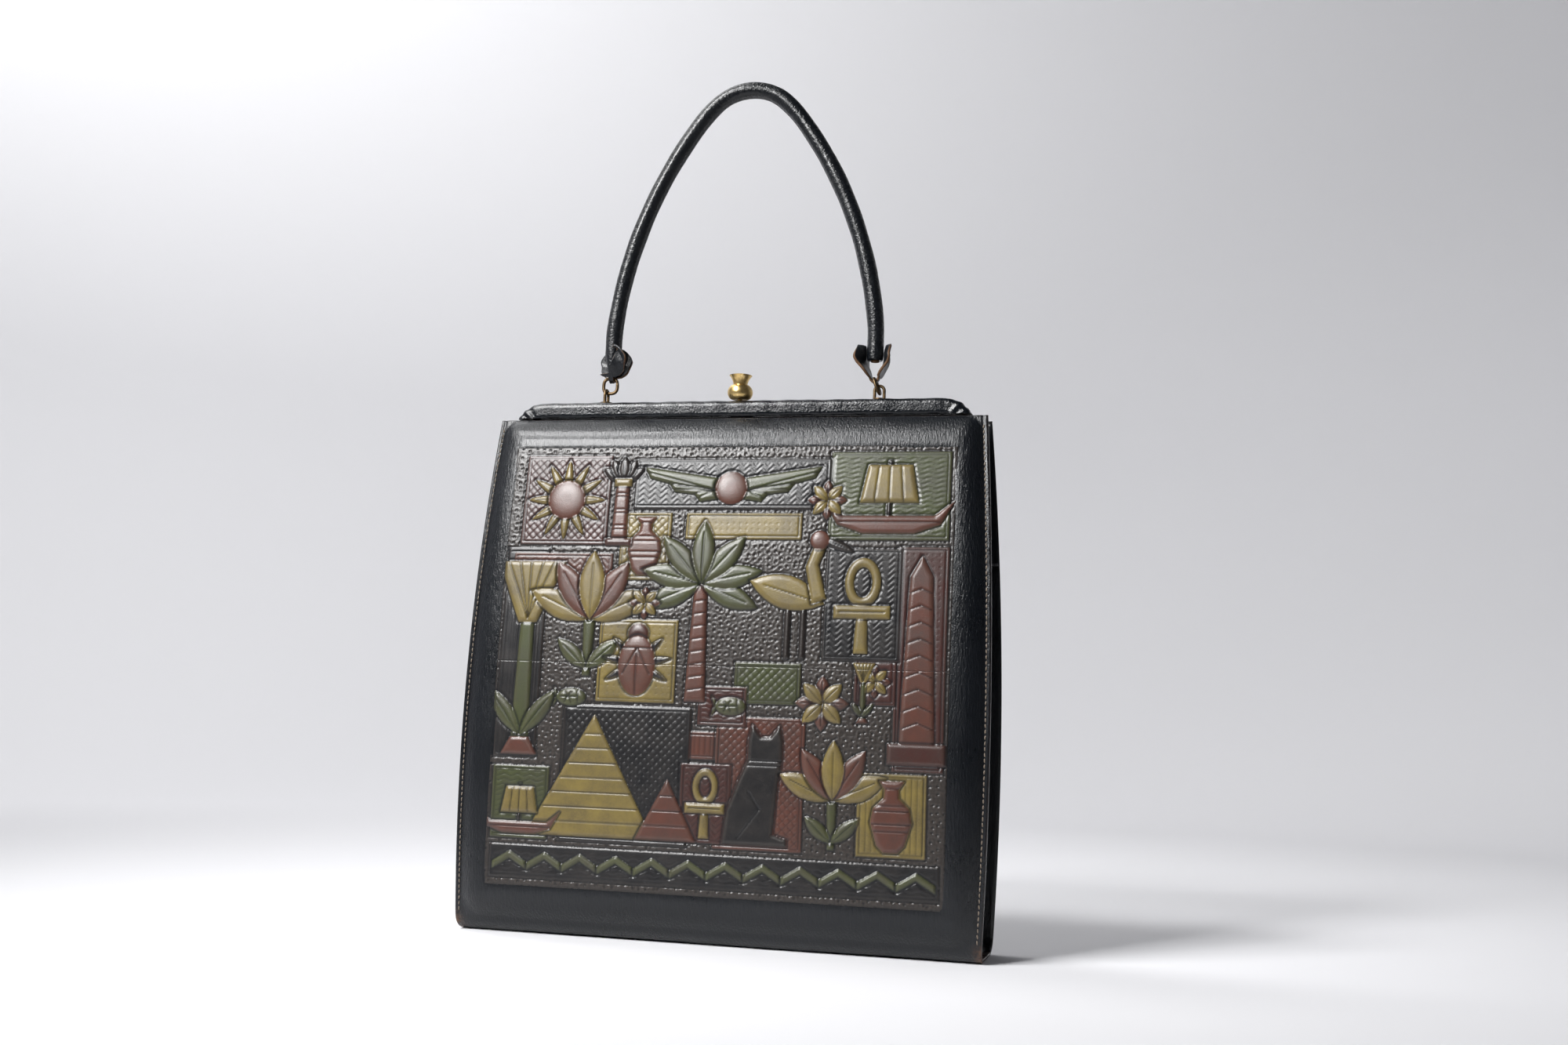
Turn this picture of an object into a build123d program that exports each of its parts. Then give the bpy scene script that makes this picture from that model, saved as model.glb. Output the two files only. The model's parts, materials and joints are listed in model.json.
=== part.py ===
from build123d import *
import os
from math import asin, cos, degrees, hypot, radians, sin, sqrt

# Body: a slim leather envelope, widest at its belly and deepest near its base
shoulder_height = 213.5
shoulder_half_width = 104.8
belly_half_width = 109.5
belly_height = 105.0
base_half_width = 107.8
shoulder_half_depth = 7.5
base_half_depth = 18.5
face_bow = 5.0
base_roll = 7.0
leather = 1.4
seam_half_gap = 0.3
shoulder_corner = 2.0

# Cushion of the front, with its stitched edge band, and the relief on it
edge_band = 4.0
cushion_foot = 8.0
cushion_rise = 4.0
cushion_slope = 8.5
cushion_corner = 14.0
cushion_lip = 0.3
padding_inset = 2.6
field_width = 188.0
field_height = 180.0
field_foot = 19.5
relief_rise = 0.9
relief_root = 0.4

# Stiffening, lining and side leathers
board = 1.2
board_inset = 8.0
board_foot = 9.0
board_drop = 2.0
base_board_thickness = 2.0
base_board_end_gap = 9.0
lining_gap = 0.3
lining = 0.7
lining_half_width = 87.5
lining_drop = 1.5
gusset_leather = 1.2
gusset_flange = 4.5
gusset_setback = 0.3
gusset_seat_gap = 0.3
gusset_foot = 6.5
gusset_drop = 4.5
gusset_fold = 10.0
gusset_fold_height_shares = (0.0, 0.18, 0.4, 0.65, 0.85, 1.0)
gusset_fold_depth_shares = (0.25, 0.75, 1.0, 0.8, 0.45, 0.25)

# Frame: two steel channels bent to an arch, hinged low on their arms
frame_half_width = 100.0
frame_rise = 7.5
frame_corner = 14.0
cover_depth = 7.2
cover_top = 1.3
cover_front_edge = 2.2
cover_foot_gap = 0.5
parting_half_gap = 0.3
channel_depth = 4.3
channel_width = 3.8
channel_wall = 0.9
fit_gap = 0.05
hinge_drop = 62.0
eye_radius = 3.2
arm_end_rise = 6.5
eye_play = 0.3
pin_radius = 1.1
pin_play = 0.1
pin_head_radius = 2.2
pin_head = 0.9

# Clasp: knob and lever tip sideways on a pin inside the front channel
knob_stem_radius = 1.0
knob_stem_foot_drop = 2.6
knob_lift = 0.9
knob_height = 10.3
knob_ball_radius = 5.3
knob_ball_shares = ((0.49, 0), (0.87, 0.09), (1, 0.3), (0.85, 0.52), (0.55, 0.62))
knob_lip_radius = 4.8
knob_dish = 0.9
knob_flare_share = 0.3
catch_tip_deg = 10.0
catch_pin_drop = 3.8
catch_pin_radius = 0.6
catch_plate = 0.9
catch_half_width = 1.0
catch_length = 8.6
nose_height = 1.6
nose_reach = 5.4
slot_play = 0.2
keeper_plate = 0.8
keeper_half_width = 5.0
keeper_height = 11.0
keeper_slot_play = 0.4
spring_leaf = 0.35
spring_length = 5.0
spring_play = 0.3

# Eyelets, links and tabs that carry the handle
eyelet_half_span = 59.4
eye_wire_radius = 0.65
eye_loop_radius = 2.0
eye_plate = 0.5
eye_plate_radius = 2.7
eye_shank_radius = 0.9
washer_radius = 1.15
washer = 0.5
link_wire_radius = 0.7
link_half_width = 2.4
link_corner = 1.0
link_length = 6.5
link_play = 0.05
link_sweep_gap = 0.1
slack_of_turned_link = 1.7
slide_of_plain_link = 1.6
tab_leather = 1.2
tab_ear_radius = 7.0
tab_ear_rise = 7.0
tab_neck_half_width = 0.9
tab_wire_gap = 0.2
tab_roll_gap = 0.1
tab_spread_rise = 5.0

# Handle: a leather roll bent to an arch of four tangent curves on each side
handle_half_span = 57.2
handle_rise = 139.7
roll_radius = 3.5
core_radius = 1.7
core_gap = 0.1
core_show = 0.6
roll_foot_rise = 16.5
crown_radius = 22.5
shoulder_curve_radius = 56.5
crown_end_deg = 42.0
shoulder_end_deg = 54.0
side_end_deg = 84.0

# Overrun of every cut, and the reach of the blanks that are cut to size
overrun = 1.0
blank_reach = 60.0
blank_half_width = 130.0

# Heights and depths that several pieces share
frame_top = shoulder_height + frame_rise
cover_foot = shoulder_height + cover_foot_gap
hinge_height = frame_top - hinge_drop
channel_front = -parting_half_gap - channel_depth
channel_middle = -parting_half_gap - channel_depth / 2
channel_top = frame_top - cover_top
channel_half_width = frame_half_width - cover_top
swing_height = frame_top + eye_plate + link_half_width + 2 * link_wire_radius + link_sweep_gap
eye_top_wire = swing_height + eye_wire_radius + link_wire_radius + link_play
catch_pin_height = frame_top - catch_pin_drop
knob_stem_foot = frame_top - knob_stem_foot_drop


def circle_through(first, second, third):
    """Centre and radius of the circle through three points of a plane."""
    (ax, ay), (bx, by), (cx, cy) = first, second, third
    area = 2 * (ax * (by - cy) + bx * (cy - ay) + cx * (ay - by))
    aa, bb, cc = ax**2 + ay**2, bx**2 + by**2, cx**2 + cy**2
    x = (aa * (by - cy) + bb * (cy - ay) + cc * (ay - by)) / area
    y = (aa * (cx - bx) + bb * (ax - cx) + cc * (bx - ax)) / area
    return x, y, hypot(ax - x, ay - y)


side_x, side_z, side_radius = circle_through(
    (base_half_width, 0), (belly_half_width, belly_height), (shoulder_half_width, shoulder_height)
)


def half_width(z):
    """Half the body's width at a height."""
    return side_x + sqrt(side_radius**2 - (z - side_z) ** 2)


chord_y = base_half_depth - shoulder_half_depth
chord_z = shoulder_height - base_roll
chord = hypot(chord_y, chord_z)
bow_y, bow_z, bow_radius = circle_through(
    (-base_half_depth, base_roll),
    (
        -(base_half_depth + shoulder_half_depth) / 2 - face_bow * chord_z / chord,
        (shoulder_height + base_roll) / 2 - face_bow * chord_y / chord,
    ),
    (-shoulder_half_depth, shoulder_height),
)
roll_y = bow_y - sqrt((bow_radius - base_roll) ** 2 - (bow_z - base_roll) ** 2)


def front_y(z, inset=0):
    """Place of the front face at a height, drawn in from the outer leather by an inset."""
    return bow_y - sqrt((bow_radius - inset) ** 2 - (z - bow_z) ** 2)


def half_section(inset, top):
    """Side view of the front half up to a height, drawn in by an inset."""
    reach = bow_radius - base_roll
    away = ((roll_y - bow_y) / reach, (base_roll - bow_z) / reach)
    turn = hypot(away[0], away[1] - 1)
    middle = (away[0] / turn, (away[1] - 1) / turn)
    small = base_roll - inset
    crest = (front_y(top, inset), top)
    tangent = (roll_y + away[0] * small, base_roll + away[1] * small)
    halfway = (top + tangent[1]) / 2
    under = (roll_y, inset)
    edge = (
        ThreePointArc(crest, (front_y(halfway, inset), halfway), tangent)
        + ThreePointArc(tangent, (roll_y + middle[0] * small, base_roll + middle[1] * small), under)
        + Polyline(under, (0, inset), (0, top), crest)
    )
    return make_face(edge)


def half_body(inset, top=shoulder_height):
    """Everything of the front half that lies within the outer face by an inset."""
    return extrude(Plane.YZ * half_section(inset, top), blank_half_width, both=True)


def outline(inset, low, high, corner):
    """Front view of the body, drawn in by an inset and cut off at two heights."""
    right = [(half_width(z) - inset, z) for z in (low, (low + high) / 2, high)]
    left = [(-x, z) for x, z in reversed(right)]
    sides = ThreePointArc(*right) + ThreePointArc(*left)
    face = make_face(Line(left[2], right[0]) + sides + Line(right[2], left[0]))
    return fillet(face.vertices(), corner) if corner else face


def forwards(face):
    """A front view carried forwards from the seam under the base."""
    return extrude(Plane.XZ.offset(seam_half_gap) * face, blank_reach)


def to_back(shape):
    """The same piece on the other side of the parting plane."""
    return mirror(shape, about=Plane.XZ)


def to_left(shape):
    """The same piece on the other side of the middle."""
    return mirror(shape, about=Plane.YZ)


def leather_sheet():
    """A plain face leather, turned under the base as far as the middle seam."""
    sheet = half_body(0, shoulder_height + overrun) - half_body(leather, shoulder_height + 2 * overrun)
    face = outline(0, -overrun, shoulder_height, 0)
    corners = face.vertices().group_by(Axis.Y)[-1]
    return sheet & forwards(fillet(corners, shoulder_corner))


def cushion(inset, rise, seat):
    """A flat pillow on the front, with sloping sides, standing on a seat inside the leather."""
    high = shoulder_height - edge_band - inset
    front_view = outline(edge_band + inset, cushion_foot + inset, high, cushion_corner - inset)
    pillow = forwards(front_view) & (half_body(-rise) - half_body(seat, shoulder_height + overrun))
    plateau = pillow.faces().sort_by(Axis.Y)[0]
    return chamfer(plateau.edges(), cushion_slope, rise - cushion_lip, reference=plateau)


def turned(points, turn, x, z):
    """Points of an outline, turned clockwise by degrees and then moved."""
    c, s = cos(radians(turn)), sin(radians(turn))
    return [(px * c + pz * s + x, pz * c - px * s + z) for px, pz in points]


def strip(*points):
    """A plain shape given by its corners, in either order."""
    ahead = [*points[1:], points[0]]
    area = sum(ax * bz - bx * az for (ax, az), (bx, bz) in zip(points, ahead))
    return Polygon(*(points if area > 0 else reversed(points)), align=None)


petal_shares = ((0, 0), (0.5, 0.5), (0, 1), (-0.5, 0.5))

# Motifs of the relief, drawn one unit tall. Plain shapes go by their corners, rounds and the holes in
# them by middle and half sizes, and fans of leaves by length, width and the point they spread from
jar_half_shares = ((0.1, 0), (0.2, 0.1), (0.3, 0.42), (0.26, 0.62), (0.11, 0.76), (0.1, 0.88), (0.18, 1))
wing_shares = (
    (0.2, 0.62), (2.2, 0.92), (2.05, 0.64), (1.55, 0.5), (1.4, 0.3), (0.9, 0.24), (0.75, 0.06), (0.2, 0.14),
)
corner_shares = {
    "lotus": (((-0.03, 0), (0.03, 0), (0.05, 0.5), (-0.05, 0.5)),),
    "papyrus": (
        ((-0.05, 0), (0.05, 0), (0.035, 0.74), (-0.035, 0.74)),
        ((-0.05, 0.68), (-0.19, 1), (0.19, 1), (0.05, 0.68)),
        ((-0.1, 0), (0.1, 0), (0.05, 0.09), (-0.05, 0.09)),
    ),
    "palm": (((-0.06, 0), (0.06, 0), (0.035, 0.68), (-0.035, 0.68)),),
    "pyramids": (((-0.62, 0), (0.5, 0), (-0.06, 1)), ((0.34, 0), (0.86, 0), (0.6, 0.5))),
    "obelisk": (
        ((-0.085, 0.08), (0.085, 0.08), (0.055, 0.9), (0, 1), (-0.055, 0.9)),
        ((-0.14, 0), (0.14, 0), (0.14, 0.1), (-0.14, 0.1)),
    ),
    "jar": ((*jar_half_shares, *[(-x, z) for x, z in reversed(jar_half_shares)]),),
    "boat": (
        (
            (-0.9, 0.46), (-0.7, 0.12), (-0.35, 0), (0.35, 0), (0.7, 0.12), (0.9, 0.46),
            (0.62, 0.24), (-0.62, 0.24),
        ),
        ((-0.03, 0.2), (0.03, 0.2), (0.03, 1), (-0.03, 1)),
        ((-0.4, 0.42), (0.4, 0.42), (0.3, 0.94), (-0.3, 0.94)),
    ),
    "wader": (
        ((0.16, 0.42), (0.27, 0.46), (0.2, 0.72), (0.27, 0.9), (0.17, 0.9), (0.1, 0.7)),
        ((-0.042, 0), (0.002, 0), (0.002, 0.46), (-0.042, 0.46)),
        ((0.078, 0), (0.122, 0), (0.122, 0.46), (0.078, 0.46)),
    ),
    "cat": (
        (
            (-0.3, 0), (0.26, 0), (0.26, 0.06), (0.14, 0.1), (0.17, 0.5), (0.2, 0.72), (0.2, 0.86),
            (0.17, 1), (0.09, 0.9), (0.01, 0.9), (-0.07, 1), (-0.1, 0.86), (-0.1, 0.7), (-0.17, 0.54),
            (-0.27, 0.28),
        ),
    ),
    "fish": (((-0.72, 0.1), (-0.4, 0.5), (-0.72, 0.9), (-0.6, 0.5)),),
    "loop_cross": (
        ((-0.075, 0), (0.075, 0), (0.05, 0.5), (-0.05, 0.5)),
        ((-0.3, 0.36), (0.3, 0.36), (0.3, 0.5), (-0.3, 0.5)),
    ),
    "winged_sun": (wing_shares, [(-x, z) for x, z in wing_shares]),
    "water": (((-1, 0), (0, 0.6), (1, 0), (1, 0.4), (0, 1), (-1, 0.4)),),
}
round_shares = {
    "beetle": ((0, 0.42, 0.27, 0.42), (0, 0.86, 0.15, 0.15)),
    "wader": ((0.2, 0.91, 0.075, 0.075),),
    "fish": ((0.08, 0.5, 0.62, 0.36),),
    "loop_cross": ((0, 0.74, 0.19, 0.26),),
    "sun": ((0, 0.5, 0.24, 0.24),),
    "winged_sun": ((0, 0.4, 0.4, 0.4),),
}
hole_shares = {"loop_cross": ((0, 0.74, 0.1, 0.16),)}
leaf_shares = {
    "lotus": ((0.34, 0.13, 0, 0.06), (0.55, 0.21, 0, 0.44)),
    "papyrus": ((0.3, 0.09, 0, 0.1),),
    "palm": ((0.36, 0.13, 0, 0.66),),
    "beetle": ((0.5, 0.09, 0, 0.45),),
    "wader": ((0.62, 0.26, 0.26, 0.42), (0.3, 0.07, 0.2, 0.93)),
    "sun": ((0.5, 0.1, 0, 0.5),),
    "rosette": ((0.5, 0.26, 0, 0.5),),
}
leaf_turns_deg = {
    "lotus": ((-48, 48), (-66, -33, 0, 33, 66)),
    "papyrus": ((-38, 38),),
    "palm": ((-112, -78, -42, 0, 42, 78, 112),),
    "beetle": ((-118, -82, -46, 46, 82, 118),),
    "wader": ((-74,), (112,)),
    "sun": (range(0, 360, 30),),
    "rosette": (range(0, 360, 45),),
}


def motif(name, size):
    """Front view of one motif at its full height."""
    plain = [strip(*[(x * size, z * size) for x, z in corners]) for corners in corner_shares.get(name, ())]
    view = Sketch()
    for x, z, across, up in round_shares.get(name, ()):
        view += Pos(x * size, z * size) * Ellipse(across * size, up * size)
    for x, z, across, up in hole_shares.get(name, ()):
        view -= Pos(x * size, z * size) * Ellipse(across * size, up * size)
    leaves = []
    for (length, width, x, z), turns in zip(leaf_shares.get(name, ()), leaf_turns_deg.get(name, ())):
        kite = [(px * width * size, pz * length * size) for px, pz in petal_shares]
        leaves += [strip(*turned(kite, turn, x * size, z * size)) for turn in turns]
    return view + [*plain, *leaves]


# Each motif: its place across and up the field, and its height, as shares of the field's height
motif_shares = (
    ("winged_sun", 0.01, 0.865, 0.095), ("sun", -0.385, 0.78, 0.19), ("boat", 0.375, 0.80, 0.165),
    ("papyrus", -0.455, 0.29, 0.44), ("lotus", -0.305, 0.47, 0.29), ("jar", -0.185, 0.70, 0.135),
    ("palm", -0.045, 0.42, 0.40), ("wader", 0.165, 0.52, 0.29), ("obelisk", 0.455, 0.30, 0.45),
    ("beetle", -0.185, 0.43, 0.16), ("loop_cross", 0.325, 0.535, 0.21), ("rosette", 0.245, 0.365, 0.12),
    ("pyramids", -0.26, 0.115, 0.27), ("cat", 0.11, 0.115, 0.26), ("lotus", 0.275, 0.115, 0.235),
    ("jar", 0.405, 0.115, 0.15), ("fish", -0.34, 0.395, 0.055), ("fish", 0.035, 0.385, 0.055),
    ("rosette", 0.235, 0.83, 0.09), ("rosette", -0.175, 0.60, 0.075), ("rosette", 0.36, 0.44, 0.07),
    ("loop_cross", -0.01, 0.125, 0.15), ("papyrus", 0.335, 0.385, 0.13), ("boat", -0.445, 0.115, 0.11),
)
water_crest_share = 0.042
water_foot_share = 0.035


def relief():
    """Raised motifs of the embossed field, cut to the bow of the cushion."""
    root = half_body(relief_root - cushion_rise, shoulder_height + overrun)
    skin = half_body(-cushion_rise - relief_rise) - root
    places = [[name, *[share * field_height for share in shares]] for name, *shares in motif_shares]
    crest = water_crest_share * field_height
    count = int(field_width / (2 * crest))
    for k in range(count):
        places.append(["water", (2 * k - count + 1) * crest, water_foot_share * field_height, crest])
    raised = []
    for name, x, z, size in places:
        face = Pos(x, field_foot + z) * motif(name, size)
        raised += (forwards(face) & skin).solids()
    return raised


def front_boards():
    """Card that stiffens one face of the body."""
    card = half_body(leather) - half_body(leather + board, shoulder_height + overrun)
    return card & forwards(outline(board_inset, board_foot, shoulder_height - board_drop, board_inset))


def base_stiffener():
    """Card that keeps the base flat, lying on the turned-under leathers."""
    length = 2 * (base_half_width - base_board_end_gap)
    plate = Box(length, -2 * roll_y, base_board_thickness, align=(Align.CENTER, Align.CENTER, Align.MIN))
    return Pos(0, 0, leather) * plate


def lining_pouch():
    """Cloth pouch with a front, a back, a bottom and two ends that stop at the hinges."""
    outer = leather + max(board, base_board_thickness) + lining_gap
    top = shoulder_height - board_drop - lining_drop
    shell = extrude(Plane.YZ * half_section(outer, top), lining_half_width, both=True)
    hollow = Plane.YZ * half_section(outer + lining, top + overrun)
    front = shell - extrude(hollow, lining_half_width - lining, both=True)
    slit = Box(2 * lining, blank_reach, shoulder_height, align=(Align.CENTER, Align.CENTER, Align.MIN))
    slits = [Pos(x, 0, hinge_height) * slit for x in (-lining_half_width, lining_half_width)]
    return front + to_back(front) - slits


def gusset():
    """Side leather with two flanges and a fold that sinks in, from the base up to the hinge."""
    low, high = gusset_foot, hinge_height - gusset_drop
    sections = []
    for height_share, depth_share in zip(gusset_fold_height_shares, gusset_fold_depth_shares):
        z = low + (high - low) * height_share
        edge = half_width(z) - gusset_setback
        web = edge - gusset_flange
        face = front_y(z, leather) + gusset_seat_gap
        valley = web - gusset_fold * depth_share
        inside = face + gusset_leather
        front = [(web - gusset_leather, face), (edge, face), (edge, inside), (web, inside)]
        back = [(x, -y) for x, y in reversed(front)]
        points = [*front, (valley, 0), *back, (valley - gusset_leather, 0)]
        sections.append(Plane.XY.offset(z) * Polygon(*points, align=None))
    return loft(sections, ruled=True)


def arch(inset, foot):
    """Front view of the frame's arch, filled, drawn in by an inset and cut off at a height."""
    half, top, low = frame_half_width - inset, frame_top - inset, hinge_height - overrun
    face = make_face(Polyline((-half, low), (half, low), (half, top), (-half, top), close=True))
    corners = face.vertices().group_by(Axis.Y)[-1]
    above = Pos(0, foot) * Rectangle(2 * frame_half_width, frame_top, align=(Align.CENTER, Align.MIN))
    return fillet(corners, frame_corner - inset) & above


def slab(face, back, front):
    """A front view carried from one depth to another."""
    return extrude(Plane.XZ.offset(-back) * face, back - front)


def eye_plate_at(x):
    """Flat hinge eye below the right arm's end of the back half, on the inside of x."""
    lap = arm_end_rise + channel_wall
    inner, outer = parting_half_gap, parting_half_gap + channel_depth
    arm = [(outer, arm_end_rise), (outer, lap), (inner, lap), (inner, arm_end_rise)]
    neck = strip((-eye_radius, 0), (eye_radius, 0), *arm)
    blank = Circle(eye_radius) + neck - Circle(pin_radius + pin_play)
    face = Plane.YZ.offset(x - channel_wall) * Pos(0, hinge_height) * blank
    return extrude(face, channel_wall)


def frame_channel():
    """Steel channel of the front half, open towards the bag's mouth."""
    foot = hinge_height + arm_end_rise
    back, front = -parting_half_gap, channel_front
    bar = slab(arch(cover_top, foot) - arch(cover_top + channel_width, foot - overrun), back, front)
    groove = arch(cover_top + channel_wall, foot - overrun)
    return bar - slab(groove, back - channel_wall, front + channel_wall)


def front_frame():
    """Front channel with its hinge eyes, and holes for the clasp and the eyelets."""
    eye = to_back(eye_plate_at(channel_half_width))
    half = frame_channel() + eye + to_left(eye)
    shank = Cylinder(eye_shank_radius + fit_gap, 2 * channel_width)
    holes = [Pos(x, channel_middle, channel_top) * shank for x in (-eyelet_half_span, eyelet_half_span)]
    bore = Cylinder(catch_pin_radius + fit_gap, 2 * channel_depth, rotation=(90, 0, 0))
    return half - holes - stem_slot() - Pos(0, channel_middle, catch_pin_height) * bore


def back_frame():
    """Back channel, with eyes that lap inside the front ones."""
    eye = eye_plate_at(channel_half_width - channel_wall - eye_play)
    return to_back(frame_channel()) + eye + to_left(eye)


def stem_slot():
    """Slot in the top of the front half that the clasp's stem tips in."""
    travel = (frame_top - catch_pin_height) * sin(radians(catch_tip_deg))
    length = 2 * (knob_stem_radius + slot_play) + travel
    cut = Box(length, 2 * (knob_stem_radius + slot_play), 2 * cover_depth)
    return Pos(travel / 2, channel_middle, frame_top) * cut


def frame_cover():
    """Leather over the top of one frame half, rounded along its front."""
    bar = slab(arch(0, cover_foot), -parting_half_gap + fit_gap, -cover_depth)
    front = bar.faces().sort_by(Axis.Y)[0]
    bar = fillet(front.edges(), cover_front_edge)
    return bar - slab(arch(cover_top - fit_gap, cover_foot - overrun), overrun, channel_front - fit_gap)


def front_frame_cover():
    """Front cover with the clasp's slot and the eyelets' holes."""
    shank = Cylinder(eye_shank_radius + fit_gap, 4 * cover_top)
    holes = [Pos(x, channel_middle, frame_top) * shank for x in (-eyelet_half_span, eyelet_half_span)]
    return frame_cover() - stem_slot() - holes


def hinge_pin():
    """Right hinge rivet, headed on both sides of the two eyes."""
    outside = channel_half_width
    inside = outside - 2 * channel_wall - eye_play - pin_play
    shaft = extrude(Plane.YZ.offset(inside) * Circle(pin_radius), outside - inside)
    outer = extrude(Plane.YZ.offset(outside) * Circle(pin_head_radius), pin_head)
    inner = extrude(Plane.YZ.offset(inside) * Circle(pin_head_radius), -pin_head)
    rim = outer.faces().sort_by(Axis.X)[-1]
    outer = fillet(rim.edges(), pin_head / 2)
    return Pos(0, 0, hinge_height) * (shaft + outer + inner)


def clasp_knob():
    """Turned knob: a squashed ball, a waist and a flared dished top, on a stem."""
    foot, top = frame_top + knob_lift, frame_top + knob_lift + knob_height
    ball = [(r * knob_ball_radius, foot + z * knob_height) for r, z in knob_ball_shares]
    waist, rim, pit = ball[-1], (knob_lip_radius, top), (0, top - knob_dish)
    flare = (waist[0] + (knob_lip_radius - waist[0]) * knob_flare_share, (waist[1] + top) / 2)
    dish_radius = (knob_lip_radius**2 + knob_dish**2) / (2 * knob_dish)
    dish_rise = dish_radius - sqrt(dish_radius**2 - (knob_lip_radius / 2) ** 2)
    stem = [(0, knob_stem_foot), (knob_stem_radius, knob_stem_foot), (knob_stem_radius, foot)]
    profile = (
        Polyline(pit, *stem, ball[0])
        + Spline(*ball)
        + ThreePointArc(waist, flare, rim)
        + ThreePointArc(rim, (knob_lip_radius / 2, pit[1] + dish_rise), pit)
    )
    return Pos(0, channel_middle) * revolve(Plane.XZ * make_face(profile), Axis.Z)


def catch_lever():
    """Flat lever below the knob, with a nose that reaches into the keeper."""
    foot = knob_stem_foot - catch_length
    upright = (Align.CENTER, Align.CENTER, Align.MIN)
    plate = Box(2 * catch_half_width, catch_plate, catch_length, align=upright)
    plate = Pos(0, channel_middle, foot) * plate
    nose = Box(2 * catch_half_width, nose_reach, nose_height, align=(Align.CENTER, Align.MIN, Align.MIN))
    nose = Pos(0, channel_middle - catch_plate / 2, foot) * nose
    bore = Cylinder(catch_pin_radius + fit_gap, 2 * catch_plate, rotation=(90, 0, 0))
    return plate + nose - Pos(0, channel_middle, catch_pin_height) * bore


def catch_pin():
    """Pivot of the lever, held in both walls of the front channel."""
    pin = Cylinder(catch_pin_radius, channel_depth, rotation=(90, 0, 0))
    return Pos(0, channel_middle, catch_pin_height) * pin


def catch_spring():
    """Leaf spring beside the lever, fixed along the channel's top."""
    top = channel_top - channel_wall
    start = -catch_half_width - spring_play
    bend = top - spring_length / 2
    leaf = Polyline(
        (start - spring_length, top),
        (start, bend),
        (start, bend - spring_leaf),
        (start - spring_leaf, bend - spring_leaf),
        (start - spring_length - 2 * spring_leaf, top),
        close=True,
    )
    half = catch_plate / 2
    return slab(make_face(leaf), channel_middle + half, channel_middle - half)


def keeper():
    """Slotted plate under the back channel that takes the lever's nose."""
    travel = catch_length * sin(radians(catch_tip_deg))
    top = channel_top - channel_wall
    hanging = (Align.CENTER, Align.CENTER, Align.MAX)
    plate = Pos(0, 0, top) * Box(2 * keeper_half_width, keeper_plate, keeper_height, align=hanging)
    slot_width = 2 * (catch_half_width + travel + keeper_slot_play)
    slot = Box(slot_width, 2 * keeper_plate, nose_height + 2 * keeper_slot_play, align=hanging)
    slot = Pos(0, 0, knob_stem_foot - catch_length + nose_height + keeper_slot_play) * slot
    return Pos(0, parting_half_gap + channel_wall + keeper_plate / 2) * (plate - slot)


def eyelet(x, turn):
    """Brass eye: a wire loop on a small plate, with a shank through the frame."""
    legs = eye_top_wire - eye_loop_radius
    path = (
        Line((-eye_loop_radius, frame_top), (-eye_loop_radius, legs))
        + ThreePointArc((-eye_loop_radius, legs), (0, eye_top_wire), (eye_loop_radius, legs))
        + Line((eye_loop_radius, legs), (eye_loop_radius, frame_top))
    )
    path = Plane.XZ * path
    loop = sweep(Plane((-eye_loop_radius, 0, frame_top)) * Circle(eye_wire_radius), path)
    plate = Cylinder(eye_plate_radius, eye_plate, align=(Align.CENTER, Align.CENTER, Align.MIN))
    shank = Cylinder(eye_shank_radius, shank_length(), align=(Align.CENTER, Align.CENTER, Align.MAX))
    eye = loop + Pos(0, 0, frame_top) * plate + Pos(0, 0, frame_top) * shank
    return Pos(x, channel_middle) * Rot(0, 0, turn) * eye


def shank_length():
    """From the frame's top, through cover and channel, to the clinched end of the shank."""
    return cover_top + channel_wall + washer


def eyelet_washer(x):
    """Washer inside the channel that the eyelet's shank is clinched on."""
    ring = Circle(washer_radius) - Circle(eye_shank_radius)
    face = Plane.XY.offset(frame_top - shank_length()) * Pos(x, channel_middle) * ring
    return extrude(face, washer)


def link():
    """Oblong wire link, standing on the wire that goes through an eyelet."""
    half = link_half_width + link_wire_radius
    wire = RectangleRounded(2 * half, link_length, link_corner + link_wire_radius)
    path = Plane.XZ * wire.wire()
    section = Plane((0, 0, link_length / 2), x_dir=(0, 1, 0), z_dir=(1, 0, 0)) * Circle(link_wire_radius)
    return Pos(0, 0, link_length / 2) * sweep(section, path)


def left_link():
    """Link that faces the front and has slid towards the middle."""
    return Pos(slide_of_plain_link - eyelet_half_span, channel_middle, swing_height) * link()


def right_link():
    """Link that stands edge on, hangs a little lower and leans in to the handle."""
    lean = degrees(asin((eyelet_half_span - handle_half_span) / link_length))
    foot = Pos(eyelet_half_span, channel_middle, swing_height - slack_of_turned_link)
    return foot * Rot(0, -lean, 0) * Rot(0, 0, 90) * link()


def turned_link_rise():
    """Height of the right link's upper wire over its lower one."""
    return sqrt(link_length**2 - (eyelet_half_span - handle_half_span) ** 2)


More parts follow.
